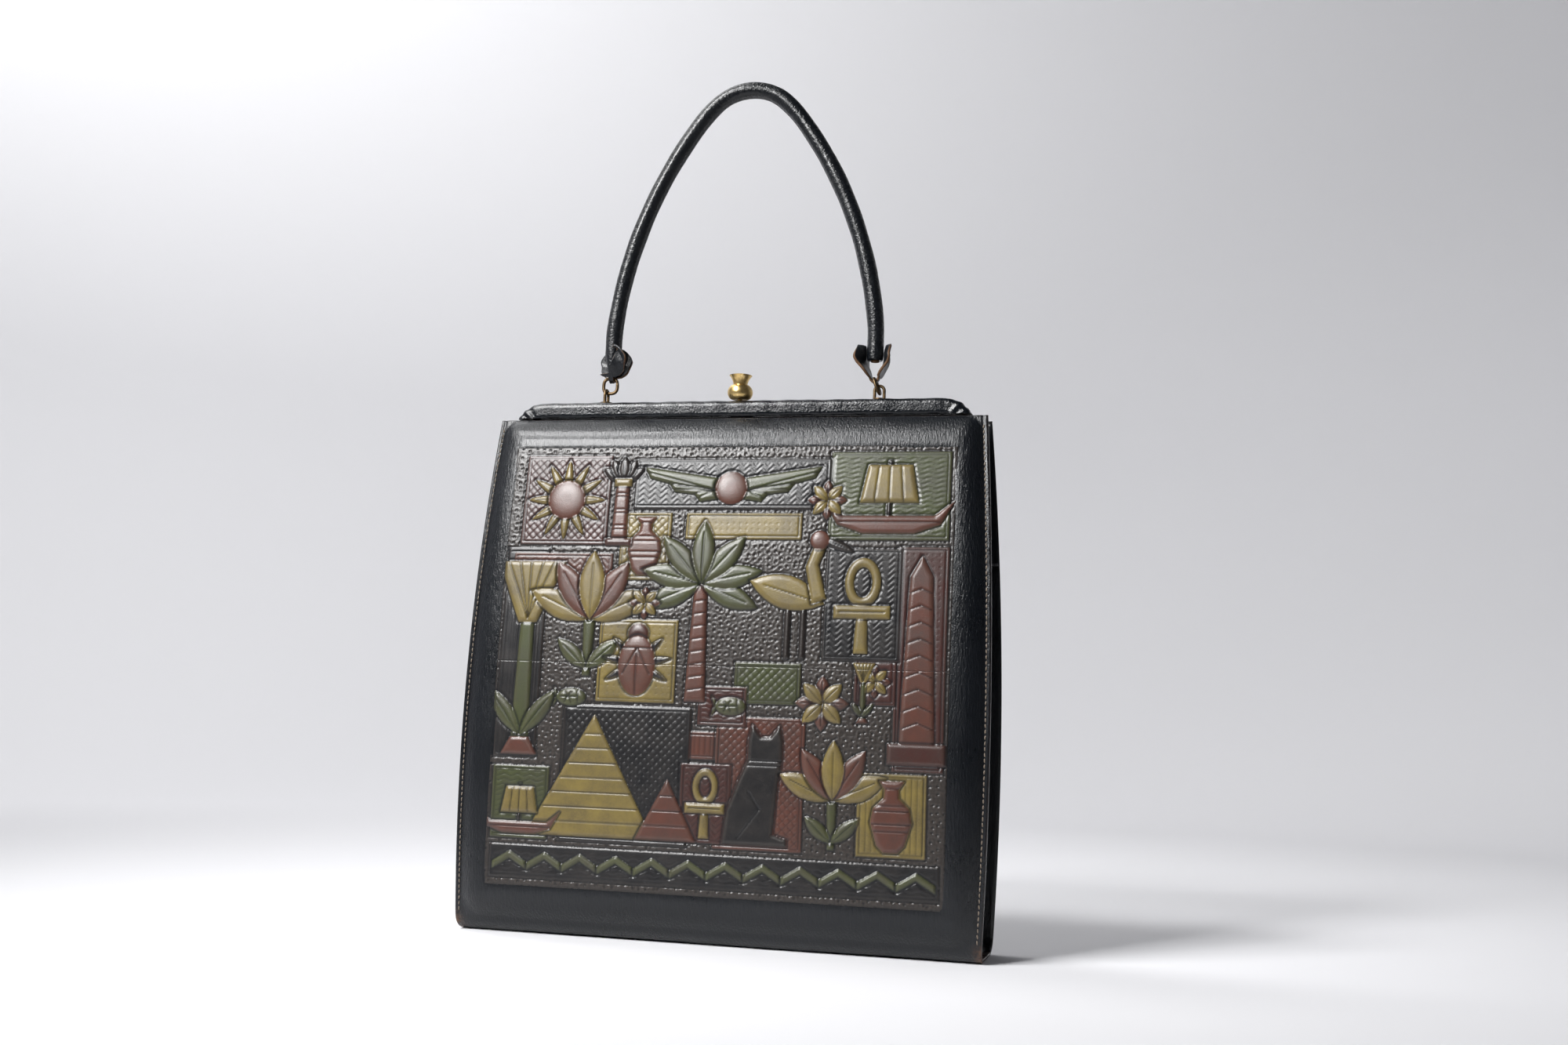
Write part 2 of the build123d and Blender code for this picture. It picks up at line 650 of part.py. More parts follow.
def handle_tab(x, turn, upper_wire):
    """Leather tab folded round a link's upper wire, with an ear on each side of the roll."""
    inner = link_wire_radius + tab_wire_gap
    spread = roll_radius + tab_roll_gap
    top = tab_ear_rise + tab_ear_radius
    fold = (
        Line((-spread, top), (-spread, tab_spread_rise))
        + Line((-spread, tab_spread_rise), (-inner, 0))
        + ThreePointArc((-inner, 0), (0, -inner), (inner, 0))
        + Line((inner, 0), (spread, tab_spread_rise))
        + Line((spread, tab_spread_rise), (spread, top))
    )
    strap = make_face(offset(fold.wire(), tab_leather, side=Side.RIGHT).edges())
    strap = extrude(Plane.YZ * strap, tab_ear_radius, both=True)
    ear = Pos(0, tab_ear_rise) * Circle(tab_ear_radius)
    neck_height = tab_ear_rise + inner + tab_leather
    neck = Rectangle(2 * tab_neck_half_width, neck_height, align=(Align.CENTER, Align.MAX))
    front_view = ear + Pos(0, tab_ear_rise) * neck
    tab = strap & extrude(Plane.XZ * front_view, blank_reach, both=True)
    return Pos(x, channel_middle, upper_wire) * Rot(0, 0, turn) * tab


def handle_path(foot):
    """Middle line of the roll, from foot to foot over its crown."""
    top = frame_top + handle_rise - roll_radius
    ends = (crown_end_deg, shoulder_end_deg, side_end_deg)
    a, b, c = [sin(radians(angle)) for angle in ends]
    lead = crown_radius * a + shoulder_curve_radius * (b - a) + shoulder_curve_radius * (1 - c)
    side_radius_of_roll = (handle_half_span - lead) / (c - b)
    curve = []
    start, way, before = (0, top), (1, 0), 0
    radii = (crown_radius, shoulder_curve_radius, side_radius_of_roll, shoulder_curve_radius)
    for radius, end in zip(radii, (*ends, 90)):
        arc = JernArc(start, way, radius, before - end)
        curve.append(arc)
        start, way, before = arc @ 1, arc % 1, end
    curve.append(Line(start, (start.X, foot)))
    right = Curve() + curve
    whole = right + mirror(right, about=Plane.YZ)
    return Plane.XZ.offset(-channel_middle) * whole.wire()


def roll_along(foot, section):
    """A round section carried along the handle's middle line."""
    return sweep(Plane((handle_half_span, channel_middle, foot)) * section, handle_path(foot))


roll_foot = frame_top + roll_foot_rise
left_wire = swing_height + link_length
right_wire = swing_height - slack_of_turned_link + turned_link_rise()
front_padding = cushion(padding_inset, cushion_rise - leather, leather)
back_panel = to_back(leather_sheet())
front_panel = leather_sheet() + cushion(0, cushion_rise, leather) - front_padding + relief()
nodes = {
    "front_panel": front_panel,
    "back_panel": back_panel,
    "front_padding": front_padding,
    "front_board": front_boards(),
    "back_board": to_back(front_boards()),
    "base_board": base_stiffener(),
    "lining": lining_pouch(),
    "right_gusset": gusset(),
    "left_gusset": to_left(gusset()),
    "front_frame": front_frame(),
    "back_frame": back_frame(),
    "front_frame_cover": front_frame_cover(),
    "back_frame_cover": to_back(frame_cover()),
    "right_hinge_pin": hinge_pin(),
    "left_hinge_pin": to_left(hinge_pin()),
    "clasp_knob": clasp_knob(),
    "catch_lever": catch_lever(),
    "catch_pin": catch_pin(),
    "catch_spring": catch_spring(),
    "keeper": keeper(),
    "left_eyelet": eyelet(-eyelet_half_span, 90),
    "right_eyelet": eyelet(eyelet_half_span, 0),
    "left_eyelet_washer": eyelet_washer(-eyelet_half_span),
    "right_eyelet_washer": eyelet_washer(eyelet_half_span),
    "left_link": left_link(),
    "right_link": right_link(),
    "left_handle_tab": handle_tab(-handle_half_span, 0, left_wire),
    "right_handle_tab": handle_tab(handle_half_span, 90, right_wire),
    "handle_cover": roll_along(roll_foot, Circle(roll_radius) - Circle(core_radius + core_gap)),
    "handle_core": roll_along(roll_foot - core_show, Circle(core_radius)),
}

# The origin lies on the base, under the middle of the handle
os.makedirs("parts", exist_ok=True)
for name, shape in nodes.items():
    export_step(Pos(0, -channel_middle) * shape, f"parts/{name}.step")
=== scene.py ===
import json
import math
from contextlib import contextmanager

import bmesh
import bpy
import numpy as np
from bpy.props import FloatProperty, FloatVectorProperty, PointerProperty
from mathutils import Matrix, Vector


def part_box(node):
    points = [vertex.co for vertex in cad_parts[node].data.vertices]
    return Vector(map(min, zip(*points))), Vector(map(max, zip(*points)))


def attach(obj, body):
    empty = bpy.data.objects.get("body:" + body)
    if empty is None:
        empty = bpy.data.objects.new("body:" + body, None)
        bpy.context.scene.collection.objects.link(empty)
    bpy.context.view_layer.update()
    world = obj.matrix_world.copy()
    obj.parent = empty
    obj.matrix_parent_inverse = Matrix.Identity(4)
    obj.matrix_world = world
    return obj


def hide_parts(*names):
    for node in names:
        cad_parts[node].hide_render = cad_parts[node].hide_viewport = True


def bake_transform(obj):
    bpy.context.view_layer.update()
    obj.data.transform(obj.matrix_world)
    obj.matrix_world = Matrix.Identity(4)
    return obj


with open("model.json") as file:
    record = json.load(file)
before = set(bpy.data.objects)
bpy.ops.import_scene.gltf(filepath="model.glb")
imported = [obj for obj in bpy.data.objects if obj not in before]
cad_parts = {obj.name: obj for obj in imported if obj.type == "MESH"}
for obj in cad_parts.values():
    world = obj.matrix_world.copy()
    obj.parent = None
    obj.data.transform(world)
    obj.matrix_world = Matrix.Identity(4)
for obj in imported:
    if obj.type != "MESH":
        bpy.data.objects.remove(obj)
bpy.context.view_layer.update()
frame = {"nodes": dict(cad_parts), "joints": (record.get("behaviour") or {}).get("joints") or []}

bl_info = {
    "name": "Frame handbag",
    "version": (1, 0, 0),
    "blender": (4, 5, 0),
    "location": "View3D > Sidebar > Handbag",
    "description": "Dresses the handbag's frame in leather, tinted relief, thread and brass",
    "category": "Object",
}

MM = 0.001
JOINT_PLACES = {joint["name"]: Vector(joint["pos_m"]) for joint in frame["joints"]}
HINGE, SWING = JOINT_PLACES["front_open"], JOINT_PLACES["handle_swing"]
PARTING = HINGE.y
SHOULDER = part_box("back_panel")[1].z
FRAME_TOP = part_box("back_frame_cover")[1].z
COVER_THICK = 1.3 * MM
FRAME_HALF_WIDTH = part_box("back_frame")[1].x + COVER_THICK
COVER_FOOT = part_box("back_frame_cover")[0].z
FRONT, BACK = -1, 1


class HandbagSizes(bpy.types.PropertyGroup):
    """Sizes of the leatherwork."""

    leather: FloatProperty(
        name="Leather", description="Thickness of the face leathers",
        default=1.4 * MM, unit="LENGTH",
    )
    edge_band: FloatProperty(
        name="Edge band", description="Stitched band from the edge to the cushion",
        default=2.7 * MM, unit="LENGTH",
    )
    cushion_rise: FloatProperty(
        name="Cushion rise", description="Height of the padded front",
        default=4.0 * MM, unit="LENGTH",
    )
    cushion_slope: FloatProperty(
        name="Cushion slope", description="Width of the cushion's rounded rim",
        default=11.0 * MM, unit="LENGTH",
    )
    relief_rise: FloatProperty(
        name="Relief rise", description="Height of the embossed motifs",
        default=0.9 * MM, unit="LENGTH",
    )
    relief_pitch: FloatProperty(
        name="Relief pitch", description="Spacing of the relief's mesh",
        default=0.46 * MM, unit="LENGTH",
    )
    stitch_pitch: FloatProperty(
        name="Stitch pitch", description="Spacing of the stitches",
        default=2.2 * MM, unit="LENGTH",
    )
    stitch_inset: FloatProperty(
        name="Stitch inset", description="From the leather's edge to its stitches",
        default=1.9 * MM, unit="LENGTH",
    )
    roll_radius: FloatProperty(
        name="Handle radius", description="Radius of the rolled handle",
        default=3.5 * MM, unit="LENGTH",
    )


class HandbagColours(bpy.types.PropertyGroup):
    """Colours of the leathers, the tints and the metals."""

    leather: FloatVectorProperty(
        name="Leather", description="Black leather",
        default=(0.0022, 0.0030, 0.0044), subtype="COLOR", size=3,
    )
    ground: FloatVectorProperty(
        name="Ground", description="Stippled ground of the relief",
        default=(0.029, 0.024, 0.021), subtype="COLOR", size=3,
    )
    terracotta: FloatVectorProperty(
        name="Terracotta", description="Red-brown tint",
        default=(0.095, 0.033, 0.022), subtype="COLOR", size=3,
    )
    ochre: FloatVectorProperty(
        name="Ochre", description="Yellow tint",
        default=(0.19, 0.142, 0.04), subtype="COLOR", size=3,
    )
    olive: FloatVectorProperty(
        name="Olive", description="Green tint",
        default=(0.050, 0.060, 0.020), subtype="COLOR", size=3,
    )
    oxblood: FloatVectorProperty(
        name="Oxblood", description="Dark red tint",
        default=(0.050, 0.015, 0.012), subtype="COLOR", size=3,
    )
    soot: FloatVectorProperty(
        name="Soot", description="Black tint",
        default=(0.004, 0.0045, 0.006), subtype="COLOR", size=3,
    )
    brass: FloatVectorProperty(
        name="Brass", description="Knob",
        default=(0.78, 0.58, 0.26), subtype="COLOR", size=3,
    )
    bronze: FloatVectorProperty(
        name="Bronze", description="Links and eyelets",
        default=(0.17, 0.115, 0.062), subtype="COLOR", size=3,
    )


def sizes():
    """The sizes in use."""
    return bpy.context.scene.handbag_sizes


def colours():
    """The colours in use."""
    return bpy.context.scene.handbag_colours


# Body: the faces' curves, read from the back leather of the frame


def points_of(node):
    """Vertices of a node of the frame."""
    mesh = frame["nodes"][node].data
    flat = np.empty(len(mesh.vertices) * 3)
    mesh.vertices.foreach_get("co", flat)
    return flat.reshape(-1, 3)


def outer_edge(heights, reaches):
    """Outermost reach against height, as the corners of the convex hull."""
    hull = []
    for z, r in sorted(zip(heights, reaches)):
        while len(hull) > 1:
            (z0, r0), (z1, r1) = hull[-2], hull[-1]
            if (z1 - z0) * (r - r0) - (r1 - r0) * (z - z0) < 0:
                break
            hull.pop()
        hull.append((z, r))
    return np.array(hull).T


def circle_through(edge, heights):
    """Centre and radius of the circle through an edge's points at three heights."""
    (az, bz, cz), (ar, br, cr) = heights, np.interp(heights, *edge)
    area = 2 * (ar * (bz - cz) + br * (cz - az) + cr * (az - bz))
    aa, bb, cc = ar**2 + az**2, br**2 + bz**2, cr**2 + cz**2
    r = (aa * (bz - cz) + bb * (cz - az) + cc * (az - bz)) / area
    z = (aa * (cr - br) + bb * (ar - cr) + cc * (br - ar)) / area
    return r, z, math.hypot(ar - r, az - z)


class Body:
    """Outer faces of the leather body."""

    roll = 7.0 * MM
    fit_shares = (0.1, 0.5, 0.97)
    roll_steps, base_steps = 10, 5
    seam_gap = 0.3 * MM

    def __init__(self):
        vertices = points_of("back_panel")
        heights = np.array(self.fit_shares) * SHOULDER
        self.side = circle_through(outer_edge(vertices[:, 2], vertices[:, 0]), heights)
        self.bow = circle_through(outer_edge(vertices[:, 2], vertices[:, 1] - PARTING), heights)
        depth, height, radius = self.bow
        self.roll_depth = depth + math.sqrt((radius - self.roll) ** 2 - (height - self.roll) ** 2)
        self.tangent = math.atan2(self.roll - height, self.roll_depth - depth)

    def half_width(self, z):
        """Half the body's width at a height."""
        x, height, radius = self.side
        return x + np.sqrt(radius**2 - (z - height) ** 2)

    def depth(self, z):
        """Distance of a face from the parting plane at a height above the base's roll."""
        depth, height, radius = self.bow
        return depth + np.sqrt(radius**2 - (z - height) ** 2)

    def slope(self, z):
        """Outward normal of a face at a height, as its depth and height shares."""
        depth, height, radius = self.bow
        return (self.depth(z) - depth) / radius, (z - height) / radius

    def rows(self, heights):
        """Depth, height and normal along a face: the given heights, the roll and the flat base."""
        bow = [(self.depth(z), z, *self.slope(z)) for z in heights]
        roll = []
        for angle in np.linspace(self.tangent, -math.pi / 2, self.roll_steps + 1)[1:]:
            nd, nz = math.cos(angle), math.sin(angle)
            roll.append((self.roll_depth + nd * self.roll, self.roll + nz * self.roll, nd, nz))
        run = np.linspace(self.roll_depth, self.seam_gap, self.base_steps + 1)[1:]
        flat = [(d, 0, 0, -1) for d in run]
        return np.array(bow + roll + flat)

    def lowest_bow(self):
        """Height at which the face turns into the base's roll."""
        return self.bow[1] + self.bow[2] * math.sin(self.tangent)


body = Body()

# Rows and columns beside the edges of a face leather
EDGE_STEPS = np.array((0, 0.2, 0.45, 0.8, 1.2, 1.6, 2.0, 2.3, 2.6, 3.0, 3.5, 4.0, 4.6)) * MM


def from_edge(reach, pitch):
    """Distances from an edge: fine steps beside it and even ones after."""
    near = EDGE_STEPS
    count = int((reach - near[-1]) / pitch)
    return np.concatenate([near, np.linspace(near[-1], reach, count + 1)[1:]])


def uneven(x, z):
    """Slow unevenness of stretched leather, from -1 to 1. The waves are in radians a metre."""
    waves = np.sin(x * 61 + 2.1 * np.sin(z * 37)) + np.sin(z * 83 + 1.7 * np.sin(x * 49 + 1))
    return (waves + 0.6 * np.sin(x * 153 + z * 118) * np.sin(z * 171 - x * 66)) / 2.6


def bell(value, width):
    """A soft hump, 1 at zero and gone a few widths away."""
    return np.exp(-((value / width) ** 2))


def walked_along(points):
    """Distance walked to each point of a line."""
    return np.concatenate([[0], np.cumsum(np.linalg.norm(np.diff(points, axis=0), axis=1))])


def rounded_min(a, b, radius):
    """The smaller of two distances, rounded where both are small."""
    corner = radius - np.hypot(np.maximum(radius - a, 0), np.maximum(radius - b, 0))
    return np.where((a < radius) & (b < radius), corner, np.minimum(a, b))


# Meshes


def shade_smooth(mesh):
    """All faces of a mesh are shaded smooth."""
    mesh.polygons.foreach_set("use_smooth", [True] * len(mesh.polygons))


def make_piece(name, vertices, faces, material):
    """A new smooth object from vertices and faces."""
    mesh = bpy.data.meshes.new(name)
    faces = faces if isinstance(faces, list) else faces.tolist()
    mesh.from_pydata(np.asarray(vertices).tolist(), [], faces)
    shade_smooth(mesh)
    mesh.validate()
    piece = bpy.data.objects.new(name, mesh)
    bpy.context.scene.collection.objects.link(piece)
    mesh.materials.append(material)
    return piece


def grid_faces(rows, columns, start=0, wrap=False):
    """Quads of a grid of vertices, numbered row by row."""
    index = np.arange(rows * columns).reshape(rows, columns) + start
    after = np.roll(index, -1, axis=1) if wrap else index[:, 1:]
    here = index if wrap else index[:, :-1]
    quads = np.stack([here[:-1], after[:-1], after[1:], here[1:]], axis=-1)
    return quads.reshape(-1, 4)


def shell_faces(rows, columns):
    """Quads of a closed shell from an outer and an inner grid of one size."""
    count = rows * columns
    outer = grid_faces(rows, columns)
    inner = grid_faces(rows, columns, count)[:, ::-1]
    index = np.arange(count).reshape(rows, columns)
    rim = np.concatenate([index[0, :-1], index[:-1, -1], index[-1, :0:-1], index[:0:-1, 0]])
    after = np.roll(rim, -1)
    edge = np.stack([rim, rim + count, after + count, after], axis=-1)
    return np.concatenate([outer, inner, edge]), len(edge)


def shell(name, outer, inner, material, edge_material=None, turned=False):
    """A closed shell between two grids of points."""
    rows, columns = outer.shape[:2]
    faces, edges = shell_faces(rows, columns)
    if turned:
        faces = faces[:, ::-1]
    vertices = np.concatenate([outer.reshape(-1, 3), inner.reshape(-1, 3)])
    piece = make_piece(name, vertices, faces, material)
    if edge_material:
        piece.data.materials.append(edge_material)
        slots = np.zeros(len(faces), int)
        slots[-edges:] = 1
        piece.data.polygons.foreach_set("material_index", slots)
    return piece


def normals_of(grid):
    """Unit normals of a grid of points."""
    across = np.gradient(grid, axis=1)
    along = np.gradient(grid, axis=0)
    normal = np.cross(across, along)
    return normal / np.maximum(np.linalg.norm(normal, axis=-1, keepdims=True), 1e-12)


def inner_side(grid, thick, row, column):
    """Inner points of a leather, on the side of the bag's middle at one row and column."""
    normal = normals_of(grid)
    return grid - normal * thick * np.sign(normal[row, column, 0])


@contextmanager
def opened(mesh):
    """A mesh is opened for cutting and mending, and written back."""
    work = bmesh.new()
    work.from_mesh(mesh)
    yield work
    work.to_mesh(mesh)
    work.free()


def face_outward(mesh):
    """All faces of a closed mesh look outward."""
    with opened(mesh) as work:
        bmesh.ops.recalc_face_normals(work, faces=work.faces[:])


def cut_level(work, z, **settings):
    """A level cut through an opened mesh."""
    everything = work.verts[:] + work.edges[:] + work.faces[:]
    return bmesh.ops.bisect_plane(
        work, geom=everything, plane_co=(0, 0, z), plane_no=(0, 0, 1), **settings
    )


def give(piece, name, values, kind="FLOAT"):
    """Stores a value or colour for each vertex."""
    made = piece.data.attributes.new(name, kind, "POINT")
    field = "value" if kind == "FLOAT" else "color"
    made.data.foreach_set(field, np.asarray(values, np.float32).ravel())


def follow_half(piece):
    """The piece's placing is baked into its mesh."""
    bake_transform(piece)


def scatter(i, j, seed):
    """Two numbers from 0 to 1 for each cell of a grid, scattered by large factors."""
    across = np.sin(i * 12.9898 + j * 78.233 + seed) * 43758.5453
    up = np.sin(i * 39.3461 + j * 11.135 + seed) * 24634.6345
    return np.modf(np.abs(across))[0], np.modf(np.abs(up))[0]


def dot_noise(x, z, pitch, seed):
    """Distance to the nearest dot of a jittered grid, in the units of the pitch."""
    margin, play = 0.2, 0.6
    i, j = np.floor(x / pitch), np.floor(z / pitch)
    nearest = np.full(x.shape, np.inf)
    for di in (-1, 0, 1):
        for dj in (-1, 0, 1):
            ci, cj = i + di, j + dj
            jx, jz = scatter(ci, cj, seed)
            dx, dz = x / pitch - ci - margin - play * jx, z / pitch - cj - margin - play * jz
            nearest = np.minimum(nearest, np.hypot(dx, dz))
    return nearest


# Materials: sums of sockets are written as Python sums


class Value:
    """A socket that takes part in Python sums."""

    def __init__(self, finish, socket):
        self.finish, self.socket = finish, socket

    def math(self, operation, first, second):
        """A Math node on two values."""
        return self.finish.node("ShaderNodeMath", {"operation": operation}, {0: first, 1: second})

    def __add__(self, other):
        return self.math("ADD", self, other)

    def __radd__(self, other):
        return self.math("ADD", other, self)

    def __sub__(self, other):
        return self.math("SUBTRACT", self, other)

    def __rsub__(self, other):
        return self.math("SUBTRACT", other, self)

    def __mul__(self, other):
        return self.math("MULTIPLY", self, other)

    def __rmul__(self, other):
        return self.math("MULTIPLY", other, self)


class Finish:
    """A material and its nodes."""

    def __init__(self, name, **shader):
        self.material = bpy.data.materials.new(name)
        self.material.use_nodes = True
        self.tree = self.material.node_tree
        self.shader = self.tree.nodes["Principled BSDF"]
        for socket, value in shader.items():
            self.shader.inputs[socket.replace("_", " ")].default_value = value

    def node(self, kind, settings=None, inputs=None, output=0):
        """A node of any kind: its settings, then its sockets' values or links."""
        made = self.tree.nodes.new(kind)
        for name, value in (settings or {}).items():
            setattr(made, name, value)
        for socket, value in (inputs or {}).items():
            self.put(made.inputs[socket], value)
        return Value(self, made.outputs[output])

    def put(self, socket, value):
        """A value or a link goes into a socket."""
        if isinstance(value, Value):
            self.tree.links.new(value.socket, socket)
        else:
            socket.default_value = value

    def set(self, **sockets):
        """Values that change over the surface go into the shader."""
        for name, value in sockets.items():
            self.put(self.shader.inputs[name.replace("_", " ")], value)

    def place(self, x=1.0, y=1.0, z=1.0):
        """The object's own coordinates in metres, stretched."""
        spot = self.node("ShaderNodeTexCoord", output="Object")
        return self.node("ShaderNodeVectorMath", {"operation": "MULTIPLY"}, {0: spot, 1: (x, y, z)})

    def stored(self, name):
        """A number stored at each vertex."""
        return self.node("ShaderNodeAttribute", {"attribute_name": name}, output="Fac")

    def stored_colour(self, name):
        """A colour stored at each vertex."""
        return self.node("ShaderNodeAttribute", {"attribute_name": name}, output="Color")

    def noise(self, place, scale, detail=2.0, roughness=0.5):
        """Soft noise from 0 to 1."""
        inputs = {"Vector": place, "Scale": scale, "Detail": detail, "Roughness": roughness}
        return self.node("ShaderNodeTexNoise", None, inputs)

    def cells(self, place, scale):
        """Distance within scattered cells."""
        inputs = {"Vector": place, "Scale": scale}
        return self.node("ShaderNodeTexVoronoi", {"feature": "F1"}, inputs, "Distance")

    def span(self, value, low, high, to_low=0.0, to_high=1.0):
        """A value's range carried to another, and held there."""
        inputs = {"Value": value, 1: low, 2: high, 3: to_low, 4: to_high}
        return self.node("ShaderNodeMapRange", {"clamp": True}, inputs)

    def mix(self, amount, *pair):
        """Two colours mixed. A colour's sockets are the seventh and eighth of the node."""
        first, second = (c if isinstance(c, Value) else (*c, 1) for c in pair)
        settings = {"data_type": "RGBA", "blend_type": "MIX", "clamp_factor": True}
        return self.node("ShaderNodeMix", settings, {0: amount, 6: first, 7: second}, 2)

    def wave(self, place, axis):
        """A sine along one axis of a place."""
        along = self.node("ShaderNodeSeparateXYZ", None, {"Vector": place}, axis)
        return self.node("ShaderNodeMath", {"operation": "SINE"}, {0: along})

    def bump(self, height, distance):
        """Small relief of the surface."""
        return self.node("ShaderNodeBump", None, {"Height": height, "Distance": distance})


def shaded(colour, share):
    """A lighter or darker colour."""
    return tuple(c * share for c in colour)


def black_leather(name, grain=(1300, 1300, 240), depth=0.13 * MM, gloss=0.28):
    """Black leather with a fine grain, rubbed brown where it is worn."""
    finish = Finish(name, Specular_IOR_Level=0.42, Coat_Roughness=0.14, Coat_Weight=0.1)
    ribs = finish.noise(finish.place(*grain), 1.0, 3.0, 0.6)
    pores = finish.cells(finish.place(), 1700)
    patches = finish.noise(finish.place(), 34.0, 3.0)
    base = tuple(colours().leather)
    colour = finish.mix(patches * 0.6, base, shaded(base, 2.2))
    scuffs = finish.span(finish.noise(finish.place(), 700.0, 4.0, 0.7), 0.35, 0.6)
    finish.set(
        Base_Color=finish.mix(finish.stored("wear") * scuffs, colour, (0.10, 0.048, 0.024)),
        Roughness=finish.span(patches + ribs * 0.5, 0.4, 1.1, gloss - 0.05, gloss + 0.1),
        Normal=finish.bump(finish.span(ribs, 0.3, 0.7) + pores * 0.3, depth),
    )
    return finish.material


def rolled_leather(name):
    """Glossy rolled leather with fine creases across the roll."""
    finish = Finish(name, Specular_IOR_Level=0.42, Coat_Weight=0.2, Coat_Roughness=0.12)
    along, around = finish.stored("along"), finish.stored("around")
    unrolled = {"X": along * 1500, "Y": around * 2.2, "Z": 0.0}
    spot = finish.node("ShaderNodeCombineXYZ", None, unrolled)
    creases = finish.span(finish.noise(spot, 1.0, 2.0), 0.38, 0.62)
    patches = finish.noise(finish.place(), 60.0, 2.0)
    base = tuple(colours().leather)
    finish.set(
        Base_Color=finish.mix(patches * 0.5, base, shaded(base, 2.0)),
        Roughness=finish.span(patches, 0.3, 0.7, 0.24, 0.36),
        Normal=finish.bump(creases, 0.12 * MM),
    )
    return finish.material


def tinted_relief(name):
    """Relief leather: tints on the motifs, darker in the hollows (glaze and painted shade), lighter
    on the crests (wear and painted highlight).
    """
    finish = Finish(name, Specular_IOR_Level=0.4, Coat_Weight=0.05, Coat_Roughness=0.2)
    patches = finish.noise(finish.place(), 90.0, 4.0, 0.6)
    speck = finish.noise(finish.place(), 1300.0, 2.0)
    washed = finish.span(patches, 0.3, 0.7, 0.1, 0.8) * (0.4 + 0.6 * speck)
    tint = finish.mix(washed, finish.stored_colour("tint"), tuple(colours().ground))
    # Crests lightened: wear and painted highlight
    rubbed_and_sheen = finish.mix(finish.stored("crest") * 0.2, tint, (0.15, 0.12, 0.10))
    # Hollows darkened towards soot: glaze and painted shade
    glazed_and_shaded = finish.mix(finish.stored("dark"), rubbed_and_sheen, tuple(colours().soot))
    grain = finish.noise(finish.place(), 2600.0, 2.0)
    finish.set(
        Base_Color=glazed_and_shaded,
        Roughness=finish.span(patches + speck * 0.4, 0.4, 1.1, 0.27, 0.4),
        Normal=finish.bump(grain, 0.05 * MM),
    )
    return finish.material


def raw_edge(name):
    """Brown raw edge of cut leather."""
    finish = Finish(name, Specular_IOR_Level=0.3)
    fibres = finish.noise(finish.place(), 1800.0, 4.0, 0.7)
    finish.set(
        Base_Color=finish.mix(fibres, (0.05, 0.024, 0.012), (0.19, 0.105, 0.055)),
        Roughness=finish.span(fibres, 0.3, 0.7, 0.6, 0.85),
        Normal=finish.bump(fibres, 0.2 * MM),
    )
    return finish.material


def waxed_thread(name):
    """Dark waxed thread, twisted."""
    finish = Finish(name, Specular_IOR_Level=0.5)
    twist = finish.noise(finish.place(4200, 4200, 1500), 1.0, 1.0)
    finish.set(
        Base_Color=finish.mix(twist, (0.05, 0.04, 0.034), (0.30, 0.24, 0.18)),
        Roughness=finish.span(twist, 0.3, 0.7, 0.34, 0.55),
        Normal=finish.bump(twist, 0.12 * MM),
    )
    return finish.material


def worn_metal(name, base, dark, gloss):
    """Metal with a dull film, rubbed bright in places."""
    finish = Finish(name, Metallic=1.0)
    film = finish.noise(finish.place(), 420.0, 5.0, 0.65)
    scratches = finish.noise(finish.place(900, 900, 6000), 1.0, 2.0)
    amount = finish.span(film, 0.38, 0.68)
    finish.set(
        Base_Color=finish.mix(amount, base, dark),
        Roughness=finish.span(film + scratches * 0.25, 0.45, 0.85, gloss, gloss + 0.22),
        Normal=finish.bump(scratches, 0.03 * MM),
    )
    return finish.material


def woven_cloth(name, base, pitch):
    """Plain weave."""
    finish = Finish(name, Specular_IOR_Level=0.25, Sheen_Weight=0.25)
    turn = 2 * math.pi / pitch
    spot = finish.place(turn, turn, turn)
    weave = finish.wave(spot, "X") * finish.wave(spot, "Z")
    slub = finish.noise(finish.place(), 300.0, 3.0)
    finish.set(
        Base_Color=finish.mix(finish.span(weave + slub, -0.6, 1.4), shaded(base, 0.6), base),
        Roughness=finish.span(slub, 0.3, 0.7, 0.8, 0.95),
        Normal=finish.bump(weave, 0.12 * MM),
    )
    return finish.material


def fibre_board(name, base):
    """Pressed card, wadding or cord: short fibres pressed together."""
    finish = Finish(name, Specular_IOR_Level=0.2)
    fibres = finish.noise(finish.place(900, 500, 300), 1.0, 5.0, 0.7)
    finish.set(
        Base_Color=finish.mix(fibres, shaded(base, 0.55), base),
        Roughness=finish.span(fibres, 0.3, 0.7, 0.8, 0.98),
        Normal=finish.bump(fibres, 0.18 * MM),
    )
    return finish.material


FINISHES = {
    "face leather": black_leather,
    "frame leather": lambda n: black_leather(n, (1300, 1000, 1000), 0.08 * MM, 0.2),
    "tab leather": lambda n: black_leather(n, (900, 900, 420), 0.14 * MM, 0.36),
    "rolled leather": rolled_leather,
    "tinted relief": tinted_relief,
    "raw edge": raw_edge,
    "waxed thread": waxed_thread,
    "aged brass": lambda n: worn_metal(n, tuple(colours().brass), (0.5, 0.33, 0.12), 0.24),
    "dark bronze": lambda n: worn_metal(n, tuple(colours().bronze), (0.05, 0.033, 0.02), 0.34),
    "sheet steel": lambda n: worn_metal(n, (0.40, 0.39, 0.37), (0.25, 0.24, 0.22), 0.3),
    "lining cloth": lambda n: woven_cloth(n, (0.16, 0.1, 0.06), 0.9 * MM),
    "pressed card": lambda n: fibre_board(n, (0.05, 0.042, 0.036)),
    "cotton wadding": lambda n: fibre_board(n, (0.66, 0.62, 0.54)),
    "brown cord": lambda n: fibre_board(n, (0.2, 0.105, 0.05)),
}


def finish_of(name):
    """A finish, made on first use."""
    return bpy.data.materials.get(name) or FINISHES[name](name)


